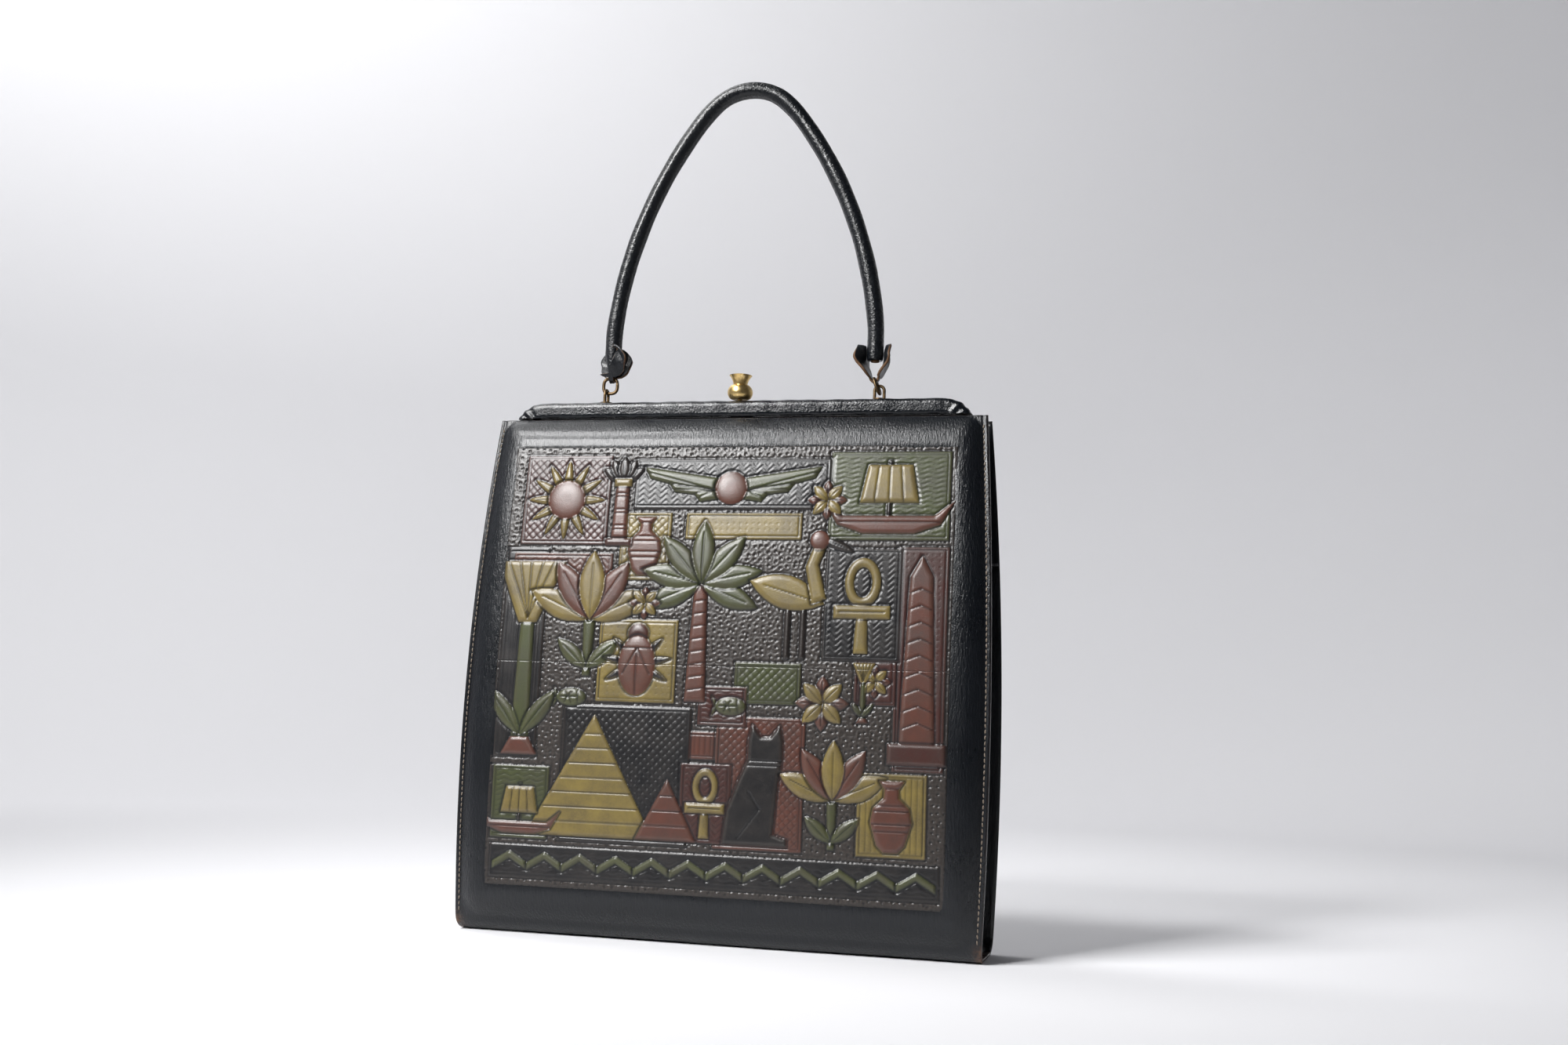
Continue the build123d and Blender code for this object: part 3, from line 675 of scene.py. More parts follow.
def finish_node(node, name):
    """A finish goes on a node of the frame."""
    mesh = frame["nodes"][node].data
    mesh.materials.clear()
    mesh.materials.append(finish_of(name))


# Face leathers


def cushion_height(x, z):
    """Rise of the padded front at a place on it."""
    s = sizes()
    top_band, foot = 0.7 * MM, 6.0 * MM
    top_corner, foot_corner, fullness = 6.0 * MM, 9.0 * MM, 2.2
    across = body.half_width(z) - s.edge_band - np.abs(x)
    inside = rounded_min(across, SHOULDER - top_band - z, top_corner)
    inside = rounded_min(inside, z - foot, foot_corner)
    share = np.clip(inside / s.cushion_slope, 0, 1)
    return s.cushion_rise * (1 - (1 - share) ** fullness)


def face_columns(half):
    """Places across a face: fine steps beside both edges and even ones between."""
    steps = from_edge(20 * MM, 1.6 * MM)
    middle = (half - steps[-1]) * np.linspace(-1, 1, 64)[1:-1]
    return np.concatenate([-half + steps, middle, half - steps[::-1]], axis=1)


def face_grid(side, rise):
    """Outer and inner points of a face leather, with a rise over its plain face, and its wear."""
    s = sizes()
    turn, groove_depth, groove_width, dent = 0.75 * MM, 0.28 * MM, 0.5 * MM, 0.14 * MM
    corner_height, corner_wear, edge_wear = 4 * MM, 2.6 * MM, 0.4 * MM
    rows = body.rows(SHOULDER - from_edge(SHOULDER - body.lowest_bow(), 2.0 * MM))
    depth, z, nd, nz = [rows[:, k, None] for k in range(4)]
    half = body.half_width(z)
    x = face_columns(half)
    walked = walked_along(rows[:, :2])[:, None]
    side_edge = half - np.abs(x)
    edge = np.minimum(side_edge, walked)
    rolled = turn - np.sqrt(np.maximum(turn**2 - np.maximum(turn - edge, 0) ** 2, 0))
    groove = groove_depth * bell(side_edge - s.stitch_inset, groove_width) * (z > 3 * MM)
    soft = np.clip(edge / (12 * MM), 0, 1)
    lift = rise(x, z) - rolled - groove + dent * soft * uneven(x, z)
    corner = np.hypot(side_edge, np.maximum(z - corner_height, 0))
    wear = bell(corner, corner_wear) + 0.2 * bell(edge, edge_wear) * (walked > 0)
    ones = np.ones_like(x)
    outer, inner = (
        np.stack([x, PARTING + side * (depth + out * nd), z * ones + out * nz], axis=-1)
        for out in (lift, -s.leather * ones)
    )
    return outer, inner, np.clip(wear, 0, 1)


def face_leather(name, side, rise):
    """A face leather, worn at its lower corners."""
    outer, inner, wear = face_grid(side, rise)
    piece = shell(name, outer, inner, finish_of("face leather"), turned=side == FRONT)
    give(piece, "wear", np.concatenate([wear.ravel(), wear.ravel()]))
    return piece


def edge_stitches(name, side, rise):
    """Rows of stitches down both sides of a face leather."""
    s = sizes()
    long, wide, sink = 0.38 * s.stitch_pitch, 0.3 * MM, 0.1 * MM
    ring, rounds, first = 8, 6, 5 * MM
    heights = np.arange(SHOULDER - first, body.lowest_bow(), -s.stitch_pitch)
    theta = np.linspace(0, math.pi, rounds)
    phi = np.linspace(0, 2 * math.pi, ring, endpoint=False)
    along = np.cos(theta)[:, None] * long * np.ones(ring)
    out = np.sin(theta)[:, None] * np.cos(phi) * wide
    across = np.sin(theta)[:, None] * np.sin(phi) * wide
    vertices, faces = [], []
    for hand in (-1, 1):
        for k, z in enumerate(heights):
            nd, nz = body.slope(z)
            x = hand * (body.half_width(z) - s.stitch_inset)
            tilt = 0.12 * math.sin(7.3 * k + hand)
            lift = rise(np.array(x), np.array(z)) - sink
            px = x + across + along * tilt
            py = PARTING + side * (body.depth(z) + (lift + out) * nd - along * nz)
            pz = z + (lift + out) * nz + along * nd
            faces.append(grid_faces(rounds, ring, len(vertices) * rounds * ring, wrap=True))
            vertices.append(np.stack([px, py, pz], axis=-1).reshape(-1, 3))
    thread = finish_of("waxed thread")
    piece = make_piece(name, np.concatenate(vertices), np.concatenate(faces), thread)
    follow_half(piece)


# Relief


def line_distance(x, z, start, end):
    """Distance from a line between two points."""
    (ax, az), (bx, bz) = start, end
    ex, ez = bx - ax, bz - az
    share = np.clip(((x - ax) * ex + (z - az) * ez) / max(ex * ex + ez * ez, 1e-15), 0, 1)
    return np.hypot(x - ax - share * ex, z - az - share * ez)


def polygon_distance(x, z, corners):
    """Distance into a plain shape, negative outside it."""
    nearest = np.full(x.shape, np.inf)
    inside = np.zeros(x.shape, bool)
    for (ax, az), (bx, bz) in zip(corners, [*corners[1:], corners[0]]):
        ex, ez = bx - ax, bz - az
        nearest = np.minimum(nearest, line_distance(x, z, (ax, az), (bx, bz)))
        crosses = (az > z) != (bz > z)
        with np.errstate(divide="ignore", invalid="ignore"):
            inside ^= crosses & (x < ax + (z - az) * ex / (ez if ez else np.nan))
    return np.where(inside, nearest, -nearest)


def round_distance(x, z, across, up):
    """Distance into an oval about the origin, negative outside it."""
    k = np.hypot(x / across, z / up)
    slope = np.hypot(x / across**2, z / up**2)
    return -k * (k - 1) / np.maximum(slope, 1e-9)


LEAF_SHARES = [(0.5 * math.sin(math.pi * t) ** 0.85, t) for t in np.linspace(0, 1, 9)]
LEAF_SHARES += [(-w, t) for w, t in reversed(LEAF_SHARES[1:-1])]
JAR_HALF_SHARES = (
    (0.1, 0), (0.2, 0.1), (0.3, 0.42), (0.26, 0.62), (0.11, 0.76), (0.1, 0.88), (0.18, 1),
)
JAR_SHARES = (*JAR_HALF_SHARES, *[(-x, z) for x, z in reversed(JAR_HALF_SHARES)])
WING_SHARES = (
    (0.2, 0.62), (2.2, 0.92), (2.05, 0.64), (1.55, 0.5),
    (1.4, 0.3), (0.9, 0.24), (0.75, 0.06), (0.2, 0.14),
)
CAT_SHARES = (
    (-0.3, 0), (0.26, 0), (0.26, 0.06), (0.14, 0.1), (0.17, 0.5),
    (0.2, 0.72), (0.2, 0.86), (0.17, 1), (0.09, 0.9), (0.01, 0.9),
    (-0.07, 1), (-0.1, 0.86), (-0.1, 0.7), (-0.17, 0.54), (-0.27, 0.28),
)
HULL_SHARES = (
    (-0.9, 0.46), (-0.7, 0.12), (-0.35, 0), (0.35, 0),
    (0.7, 0.12), (0.9, 0.46), (0.62, 0.24), (-0.62, 0.24),
)
NECK_SHARES = ((0.16, 0.42), (0.27, 0.46), (0.2, 0.72), (0.27, 0.9), (0.17, 0.9), (0.1, 0.7))

# Each motif, drawn one unit tall, from back to front, each shape with its tint: corners, rounds
# (middle and half sizes), rings (the same, and the hole's half sizes) and leaves (length, width,
# the point that they spread from and their turns)
MOTIF_SHARES = {
    "lotus": (
        ("corners", "olive", ((-0.03, 0), (0.03, 0), (0.05, 0.5), (-0.05, 0.5))),
        ("leaves", "olive", (0.34, 0.13, 0, 0.06), (-48, 48)),
        ("leaves", "ochre", (0.55, 0.21, 0, 0.44), (-66, 66)),
        ("leaves", "terracotta", (0.55, 0.21, 0, 0.44), (-33, 33)),
        ("leaves", "ochre", (0.55, 0.21, 0, 0.44), (0,)),
    ),
    "papyrus": (
        ("corners", "olive", ((-0.05, 0), (0.05, 0), (0.035, 0.74), (-0.035, 0.74))),
        ("leaves", "olive", (0.3, 0.09, 0, 0.1), (-38, 38)),
        ("corners", "ochre", ((-0.05, 0.68), (-0.19, 1), (0.19, 1), (0.05, 0.68))),
        ("corners", "terracotta", ((-0.1, 0), (0.1, 0), (0.05, 0.09), (-0.05, 0.09))),
    ),
    "palm": (
        ("corners", "terracotta", ((-0.06, 0), (0.06, 0), (0.035, 0.68), (-0.035, 0.68))),
        ("leaves", "olive", (0.36, 0.13, 0, 0.66), (-112, 112, -78, 78, -42, 42, 0)),
    ),
    "pyramids": (
        ("corners", "ochre", ((-0.62, 0), (0.5, 0), (-0.06, 1))),
        ("corners", "terracotta", ((0.34, 0), (0.86, 0), (0.6, 0.5))),
    ),
    "obelisk": (
        (
            "corners", "terracotta",
            ((-0.085, 0.08), (0.085, 0.08), (0.055, 0.9), (0, 1), (-0.055, 0.9)),
        ),
        ("corners", "oxblood", ((-0.14, 0), (0.14, 0), (0.14, 0.1), (-0.14, 0.1))),
    ),
    "jar": (("corners", "terracotta", JAR_SHARES),),
    "column": (
        ("corners", "terracotta", ((-0.09, 0.05), (0.09, 0.05), (0.075, 0.72), (-0.075, 0.72))),
        ("corners", "oxblood", ((-0.15, 0), (0.15, 0), (0.15, 0.08), (-0.15, 0.08))),
        ("leaves", "soot", (0.28, 0.13, 0, 0.72), (-58, 58, -30, 30, 0)),
        ("corners", "ochre", ((-0.1, 0.66), (0.1, 0.66), (0.1, 0.75), (-0.1, 0.75))),
    ),
    "beetle": (
        ("leaves", "soot", (0.5, 0.09, 0, 0.45), (-118, -82, -46, 46, 82, 118)),
        ("round", "oxblood", (0, 0.86, 0.15, 0.15)),
        ("round", "terracotta", (0, 0.42, 0.27, 0.42)),
    ),
    "boat": (
        ("corners", "soot", ((-0.03, 0.2), (0.03, 0.2), (0.03, 1), (-0.03, 1))),
        ("corners", "ochre", ((-0.4, 0.42), (0.4, 0.42), (0.3, 0.94), (-0.3, 0.94))),
        ("corners", "terracotta", HULL_SHARES),
    ),
    "wader": (
        ("corners", "soot", ((-0.042, 0), (0.002, 0), (0.002, 0.46), (-0.042, 0.46))),
        ("corners", "soot", ((0.078, 0), (0.122, 0), (0.122, 0.46), (0.078, 0.46))),
        ("leaves", "ochre", (0.62, 0.26, 0.26, 0.42), (-74,)),
        ("corners", "ochre", NECK_SHARES),
        ("leaves", "soot", (0.3, 0.07, 0.2, 0.93), (112,)),
        ("round", "terracotta", (0.2, 0.91, 0.075, 0.075)),
    ),
    "cat": (("corners", "soot", CAT_SHARES),),
    "fish": (
        ("corners", "olive", ((-0.72, 0.1), (-0.4, 0.5), (-0.72, 0.9), (-0.6, 0.5))),
        ("round", "olive", (0.08, 0.5, 0.62, 0.36)),
    ),
    "loop_cross": (
        ("ring", "ochre", (0, 0.74, 0.19, 0.26), (0.1, 0.16)),
        ("corners", "ochre", ((-0.075, 0), (0.075, 0), (0.05, 0.5), (-0.05, 0.5))),
        ("corners", "ochre", ((-0.3, 0.36), (0.3, 0.36), (0.3, 0.5), (-0.3, 0.5))),
    ),
    "sun": (
        ("leaves", "ochre", (0.5, 0.1, 0, 0.5), range(0, 360, 30)),
        ("round", "terracotta", (0, 0.5, 0.24, 0.24)),
    ),
    "winged_sun": (
        ("corners", "olive", WING_SHARES),
        ("corners", "olive", [(-x, z) for x, z in WING_SHARES]),
        ("round", "terracotta", (0, 0.4, 0.4, 0.4)),
    ),
    "rosette": (
        ("leaves", "terracotta", (0.5, 0.26, 0, 0.5), range(0, 360, 90)),
        ("leaves", "ochre", (0.5, 0.26, 0, 0.5), range(45, 360, 90)),
    ),
    "water": (("corners", "olive", ((-1, 0), (0, 0.6), (1, 0), (1, 0.4), (0, 1), (-1, 0.4))),),
}
# Incised lines of the motifs, as pairs of ends
LINE_SHARES = {
    "pyramids": [((-0.7, z), (0.9, z)) for z in (0.12, 0.24, 0.36, 0.48, 0.6, 0.72, 0.84)],
    "obelisk": [
        ((x, z), (0, z + 0.04))
        for x in (-0.1, 0.1)
        for z in (0.16, 0.24, 0.32, 0.4, 0.48, 0.56, 0.64, 0.72, 0.8)
    ],
    "jar": [((-0.3, z), (0.3, z)) for z in (0.3, 0.4, 0.58, 0.66, 0.9)],
    "column": [((-0.1, z), (0.1, z)) for z in (0.18, 0.22, 0.36, 0.4, 0.54, 0.58)],
    "beetle": [
        ((0, 0.02), (0, 0.66)), ((-0.25, 0.66), (0.25, 0.66)),
        ((0, 0.66), (-0.2, 0.3)), ((0, 0.66), (0.2, 0.3)),
    ],
    "boat": [
        ((-0.7, 0.15), (0.7, 0.15)), ((-0.2, 0.42), (-0.15, 0.94)),
        ((0.2, 0.42), (0.15, 0.94)), ((0, 0.42), (0, 0.94)),
    ],
    "cat": [
        ((-0.1, 0.7), (0.2, 0.7)), ((-0.1, 0.66), (0.2, 0.66)),
        ((-0.16, 0.06), (0.02, 0.3)), ((0.02, 0.3), (-0.08, 0.44)),
    ],
    "palm": [
        ((-0.06, z), (0.06, z + 0.02)) for z in (0.06, 0.13, 0.2, 0.27, 0.34, 0.41, 0.48, 0.55)
    ],
    "papyrus": [((0, 0.7), (x, 1)) for x in (-0.13, -0.065, 0, 0.065, 0.13)],
    "fish": [
        ((0.4, 0.2), (0.36, 0.8)), ((-0.4, 0.5), (0.3, 0.5)),
        ((-0.2, 0.3), (0.1, 0.7)), ((-0.2, 0.7), (0.1, 0.3)),
    ],
    "winged_sun": [
        ((hand * 0.4, 0.34), (hand * x, z))
        for hand in (-1, 1)
        for x, z in ((2.2, 0.8), (2.0, 0.6), (1.7, 0.5), (1.5, 0.36), (1.2, 0.22), (0.9, 0.1))
    ],
    "loop_cross": [((-0.24, 0.43), (0.24, 0.43))],
}
# Places of the motifs across and up the field, and their heights, as shares of the field's height
LAYOUT_SHARES = (
    ("winged_sun", 0.01, 0.865, 0.095), ("sun", -0.385, 0.78, 0.19),
    ("boat", 0.375, 0.80, 0.165), ("papyrus", -0.455, 0.29, 0.44),
    ("lotus", -0.305, 0.47, 0.29), ("jar", -0.185, 0.70, 0.135),
    ("palm", -0.045, 0.42, 0.40), ("wader", 0.165, 0.52, 0.29),
    ("obelisk", 0.455, 0.30, 0.45), ("beetle", -0.185, 0.43, 0.16),
    ("loop_cross", 0.325, 0.535, 0.21), ("rosette", 0.245, 0.365, 0.12),
    ("pyramids", -0.26, 0.115, 0.27), ("cat", 0.11, 0.115, 0.26),
    ("lotus", 0.275, 0.115, 0.235), ("jar", 0.405, 0.115, 0.15),
    ("fish", -0.34, 0.395, 0.055), ("fish", 0.035, 0.385, 0.055),
    ("rosette", 0.235, 0.83, 0.09), ("rosette", -0.175, 0.60, 0.075),
    ("rosette", 0.36, 0.44, 0.07), ("column", -0.25, 0.768, 0.21),
    ("loop_cross", -0.01, 0.125, 0.15), ("papyrus", 0.335, 0.385, 0.13),
    ("boat", -0.445, 0.115, 0.11),
)
# Low plaques behind the motifs: middle, foot, width and height as shares of the field's height,
# tint and pattern
PLAQUE_SHARES = (
    (0.0, 0.018, 1.02, 0.072, "soot", "ripples"),
    (-0.465, 0.285, 0.1, 0.475, "soot", "bars"),
    (0.458, 0.285, 0.11, 0.485, "oxblood", "dots"),
    (-0.38, 0.665, 0.24, 0.085, "terracotta", "chevrons"),
    (0.045, 0.785, 0.27, 0.06, "ochre", "dots"),
    (0.12, 0.42, 0.15, 0.09, "olive", "lattice"),
    (-0.445, 0.105, 0.135, 0.16, "olive", "ripples"),
    (-0.02, 0.295, 0.1, 0.06, "terracotta", "bars"),
    (0.36, 0.425, 0.09, 0.1, "oxblood", "dots"),
    (0.375, 0.785, 0.27, 0.2, "olive", "ripples"),
    (-0.185, 0.415, 0.185, 0.185, "ochre", "dots"),
    (0.11, 0.105, 0.2, 0.285, "terracotta", "lattice"),
    (0.325, 0.52, 0.17, 0.245, "soot", "chevrons"),
    (-0.2, 0.105, 0.3, 0.3, "soot", "lattice"),
    (0.405, 0.105, 0.15, 0.175, "ochre", "bars"),
    (0.02, 0.37, 0.11, 0.085, "oxblood", "ripples"),
    (-0.385, 0.77, 0.21, 0.21, "oxblood", "lattice"),
    (0.01, 0.855, 0.46, 0.115, "soot", "chevrons"),
    (-0.185, 0.69, 0.12, 0.155, "ochre", "lattice"),
    (-0.01, 0.115, 0.115, 0.17, "oxblood", "chevrons"),
)
# Height of a ripple of the water along the foot, and its place up the field
WATER_SHARES = (0.042, 0.035)
FIELD_LOW, FIELD_SIDE, FIELD_TALL = 19.5 * MM, 94.0 * MM, 180.0 * MM


def inside_field(x, z):
    """Distance into the embossed field from its border, negative outside it."""
    return np.minimum(FIELD_SIDE - np.abs(x), np.minimum(z - FIELD_LOW, FIELD_LOW + FIELD_TALL - z))


class Relief:
    """Heights and tints of the embossed field, drawn shape by shape on a grid of points."""

    margin = 2.5 * MM
    corner_edge, ring_edge, leaf_edge = 1.7 * MM, 1.5 * MM, 2.6 * MM
    tint_edge, rib_width = 0.3 * MM, 0.22 * MM
    dip_place, dip_width, dip_depth = 0.45 * MM, 0.4 * MM, 0.22 * MM
    cut_width, cut_fade, cut_depth = 0.3 * MM, 0.5 * MM, 0.3 * MM

    def __init__(self, xs, zs):
        self.xs, self.zs = xs, zs
        self.x, self.z = np.meshgrid(xs, zs)
        dots = dot_noise(self.x, self.z, pitch=2.9 * MM, seed=1.7)
        grains = dot_noise(self.x, self.z, pitch=1.4 * MM, seed=4.2)
        pit, lip = bell(dots, 0.17), bell(dots - 0.34, 0.12)
        pebble = np.clip(1 - (grains / 0.5) ** 2, 0, 1)
        self.height = (0.13 * lip + 0.08 * pebble - 0.3 * pit) * MM
        # Lips and pebble tops painted lighter: wear and painted highlight. Pits and the low ground
        # between pebbles painted darker: glaze and painted shade.
        self.crest = 0.45 * lip + 0.25 * pebble
        self.dark = 0.9 * pit + 0.25 * (1 - pebble) * (1 - pit)
        self.tint = np.ones((*self.x.shape, 3)) * np.array(colours().ground)

    def window(self, low_x, high_x, low_z, high_z):
        """The part of the grid round a shape."""
        c = np.searchsorted(self.xs, (low_x - self.margin, high_x + self.margin))
        r = np.searchsorted(self.zs, (low_z - self.margin, high_z + self.margin))
        return slice(*r), slice(*c)

    def lift(self, part, into, rise, edge, tint):
        """A raised shape with a rounded edge, a dark line round it (glaze and painted shade in its
        dip), a lighter band along the edge (wear and painted highlight) and its own tint.
        """
        share = np.clip(into / edge, 0, 1)
        top = rise * np.sqrt(1 - (1 - share) ** 2)
        solid = np.clip(into / self.tint_edge + 0.5, 0, 1)
        self.height[part] = self.height[part] * (1 - solid) + top * solid
        dip = bell(into + self.dip_place, self.dip_width)
        self.height[part] -= self.dip_depth * dip
        # Dip painted dark: glaze and painted shade
        self.dark[part] = np.maximum(self.dark[part] * (1 - solid), 0.95 * dip)
        self.crest[part] *= 1 - solid
        # Band along the rounded edge painted lighter: wear and painted highlight
        self.crest[part] += solid * 0.6 * bell(into - 0.5 * edge, 0.35 * edge)
        self.tint[part] += (np.array(tint) - self.tint[part]) * solid[..., None]

    def incise(self, part, away, within, width=cut_width):
        """A fine line cut into a shape."""
        cut = bell(away, width) * np.clip(within / self.cut_fade, 0, 1)
        self.height[part] -= self.cut_depth * cut
        # The cut is painted dark: glaze and painted shade
        self.dark[part] = np.maximum(self.dark[part], 0.8 * cut)

    def points(self, part):
        """Places of the points in a part of the grid."""
        return self.x[part], self.z[part]

    def draw(self, name, x, z, size):
        """One motif with its foot at a place."""
        for kind, tint, shares, *more in MOTIF_SHARES[name]:
            tint = getattr(colours(), tint)
            if kind == "leaves":
                length, width, px, pz = np.array(shares) * size
                for turn in np.radians(more[0]):
                    self.leaf(x + px, z + pz, length, width, turn, tint)
                continue
            if kind == "corners":
                corners = [(x + u * size, z + v * size) for u, v in shares]
                part = self.window(*self.reach(corners))
                into = polygon_distance(*self.points(part), corners)
                edge = self.corner_edge
            else:
                px, pz, across, up = np.array(shares) * size
                edge = 0.85 * min(across, up)
                part = self.window(x + px - across, x + px + across, z + pz - up, z + pz + up)
                gx, gz = self.points(part)
                into = round_distance(gx - x - px, gz - z - pz, across, up)
                if kind == "ring":
                    hole = np.array(more[0]) * size
                    into = np.minimum(into, -round_distance(gx - x - px, gz - z - pz, *hole))
                    edge = self.ring_edge
            self.lift(part, into, sizes().relief_rise, edge, tint)
            for (ax, az), (bx, bz) in LINE_SHARES.get(name, ()):
                a, b = (x + ax * size, z + az * size), (x + bx * size, z + bz * size)
                self.incise(part, line_distance(*self.points(part), a, b), into)

    def leaf(self, x, z, length, width, turn, tint):
        """One leaf, turned about its foot, with a rib along it."""
        c, n = math.cos(turn), math.sin(turn)
        corners = [(u * width, v * length) for u, v in LEAF_SHARES]
        corners = [(x + u * c + v * n, z + v * c - u * n) for u, v in corners]
        part = self.window(*self.reach(corners))
        points = self.points(part)
        into = polygon_distance(*points, corners)
        self.lift(part, into, sizes().relief_rise, min(self.leaf_edge, 0.46 * width), tint)
        rib = 0.8 * length
        away = line_distance(*points, (x, z), (x + rib * n, z + rib * c))
        self.incise(part, away, into, self.rib_width)

    def reach(self, corners):
        """Lowest and highest corners of a shape, across and up."""
        across, up = np.array(corners).T
        return across.min(), across.max(), up.min(), up.max()

    def plaque(self, x, z, wide, tall, tint, pattern):
        """A low plaque with an incised border and a fine pattern inside it."""
        rise, edge, border, line = 0.38 * MM, 0.5 * MM, 1.2 * MM, 0.24 * MM
        part = self.window(x - wide / 2, x + wide / 2, z, z + tall)
        gx, gz = self.points(part)
        into = np.minimum(wide / 2 - np.abs(gx - x), tall / 2 - np.abs(gz - z - tall / 2))
        self.lift(part, into, rise, edge, getattr(colours(), tint))
        self.incise(part, np.abs(into - border), into, line)
        within = np.minimum(into - border - 0.5 * MM, 0.28 * MM)
        for away in self.pattern(pattern, gx - x, gz - z):
            self.incise(part, away, within, line)

    def pattern(self, name, x, z):
        """Distances from the lines of a plaque's pattern: ripples where it is no other."""

        def lines(value, pitch):
            return np.abs(np.mod(value, pitch) - pitch / 2)

        if name == "lattice":
            return [0.7 * lines(x + z, 3.4 * MM), 0.7 * lines(x - z, 3.4 * MM)]
        if name == "chevrons":
            return [0.75 * lines(z + lines(x, 5 * MM), 2.4 * MM)]
        if name == "dots":
            return [np.hypot(lines(x, 2.6 * MM), lines(z, 2.6 * MM))]
        if name == "bars":
            return [lines(x, 2.2 * MM)]
        return [lines(z + 0.4 * MM * np.sin(x * 1100), 2.0 * MM)]


def draw_field(xs, zs):
    """The whole embossed field on a grid."""
    relief = Relief(xs, zs)
    for *shares, tint, pattern in PLAQUE_SHARES:
        x, z, wide, tall = np.array(shares) * FIELD_TALL
        relief.plaque(x, FIELD_LOW + z, wide, tall, tint, pattern)
    crest, foot = np.array(WATER_SHARES) * FIELD_TALL
    count = int(FIELD_SIDE / crest)
    for k in range(count):
        relief.draw("water", (2 * k - count + 1) * crest, FIELD_LOW + foot, crest)
    for name, *shares in LAYOUT_SHARES:
        x, z, size = np.array(shares) * FIELD_TALL
        relief.draw(name, x, FIELD_LOW + z, size)
    return relief


class HANDBAG_OT_front_leather(bpy.types.Operator):
    """Cushioned front leather with its stitched edges."""

    bl_idname = "handbag.front_leather"
    bl_label = "Front leather"

    def execute(self, context):
        def rise(x, z):
            sink, lap = 0.8 * MM, 1.0 * MM
            hidden = np.clip((inside_field(x, z) - sink) / lap, 0, 1)
            return cushion_height(x, z) - sink * hidden

        piece = face_leather("front_leather", FRONT, rise)
        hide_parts("front_panel")
        follow_half(piece)
        edge_stitches("front_stitches", FRONT, cushion_height)
        return {"FINISHED"}


class HANDBAG_OT_embossed_field(bpy.types.Operator):
    """Embossed and tinted field of the front, in an upper and a lower mesh."""

    bl_idname = "handbag.embossed_field"
    bl_label = "Embossed field"

    def execute(self, context):
        pitch = sizes().relief_pitch
        thick, proud, rim = 0.9 * MM, 0.02 * MM, 0.8 * MM
        border_place, border_width, border_depth = 0.6 * MM, 0.4 * MM, 0.1 * MM
        xs = np.linspace(-FIELD_SIDE, FIELD_SIDE, int(2 * FIELD_SIDE / pitch))
        zs = np.linspace(FIELD_LOW, FIELD_LOW + FIELD_TALL, int(FIELD_TALL / pitch))
        relief = draw_field(xs, zs)
        inside = inside_field(relief.x, relief.z)
        line = bell(inside - border_place, border_width)
        relief.height -= border_depth * line
        relief.height *= np.clip(inside / rim, 0, 1)
        # The border's groove is painted dark: glaze and painted shade
        relief.dark = np.maximum(relief.dark, 0.5 * line)
        depth, (nd, nz) = body.depth(relief.z), body.slope(relief.z)
        middle = len(zs) // 2
        halves = {"lower_relief": slice(0, middle + 1), "upper_relief": slice(middle, len(zs))}
        for name, rows in halves.items():
            x, z = relief.x[rows], relief.z[rows]
            base = cushion_height(x, z) + proud
            sheets = []
            for lift in (base + relief.height[rows], base - thick):
                y = PARTING - depth[rows] - lift * nd[rows]
                sheets.append(np.stack([x, y, z + lift * nz[rows]], axis=-1))
            self.tile(name, *sheets, relief, rows)
        return {"FINISHED"}

    def tile(self, name, outer, inner, relief, rows):
        """One closed tile: its fine face, and a plain back joined to the face's rim."""
        count, columns = outer.shape[:2]
        face = grid_faces(count, columns)
        start = count * columns
        ends = np.stack([inner[:, 0], inner[:, -1]], axis=1)
        left, low = np.arange(count) * columns, start + 2 * np.arange(count)
        right, high = left + columns - 1, low + 1
        back = np.stack([low[:-1], low[1:], high[1:], high[:-1]], axis=-1)
        rim_left = np.stack([left[:-1], left[1:], low[1:], low[:-1]], axis=-1)
        rim_right = np.stack([right[1:], right[:-1], high[:-1], high[1:]], axis=-1)
        faces = np.concatenate([face, back, rim_left, rim_right]).tolist()
        faces.append([*range(columns - 1, -1, -1), low[0], high[0]])
        faces.append([*range(start - columns, start), high[-1], low[-1]])
        vertices = np.concatenate([outer.reshape(-1, 3), ends.reshape(-1, 3)])
        piece = make_piece(name, vertices, faces, finish_of("tinted relief"))
        spare = 2 * count
        tint = np.concatenate([relief.tint[rows].reshape(-1, 3), np.ones((spare, 3)) * 0.01])
        give(piece, "tint", np.column_stack([tint, np.ones(len(tint))]), "FLOAT_COLOR")
        give(piece, "dark", np.concatenate([relief.dark[rows].ravel(), np.ones(spare)]))
        give(piece, "crest", np.concatenate([relief.crest[rows].ravel(), np.zeros(spare)]))
        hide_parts("front_panel")
        follow_half(piece)


class HANDBAG_OT_back_leather(bpy.types.Operator):
    """Plain back leather with its stitched edges."""

    bl_idname = "handbag.back_leather"
    bl_label = "Back leather"

    def execute(self, context):
        def rise(x, z):
            return 0 * x * z

        piece = face_leather("back_leather", BACK, rise)
        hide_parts("back_panel")
        follow_half(piece)
        edge_stitches("back_stitches", BACK, rise)
        return {"FINISHED"}


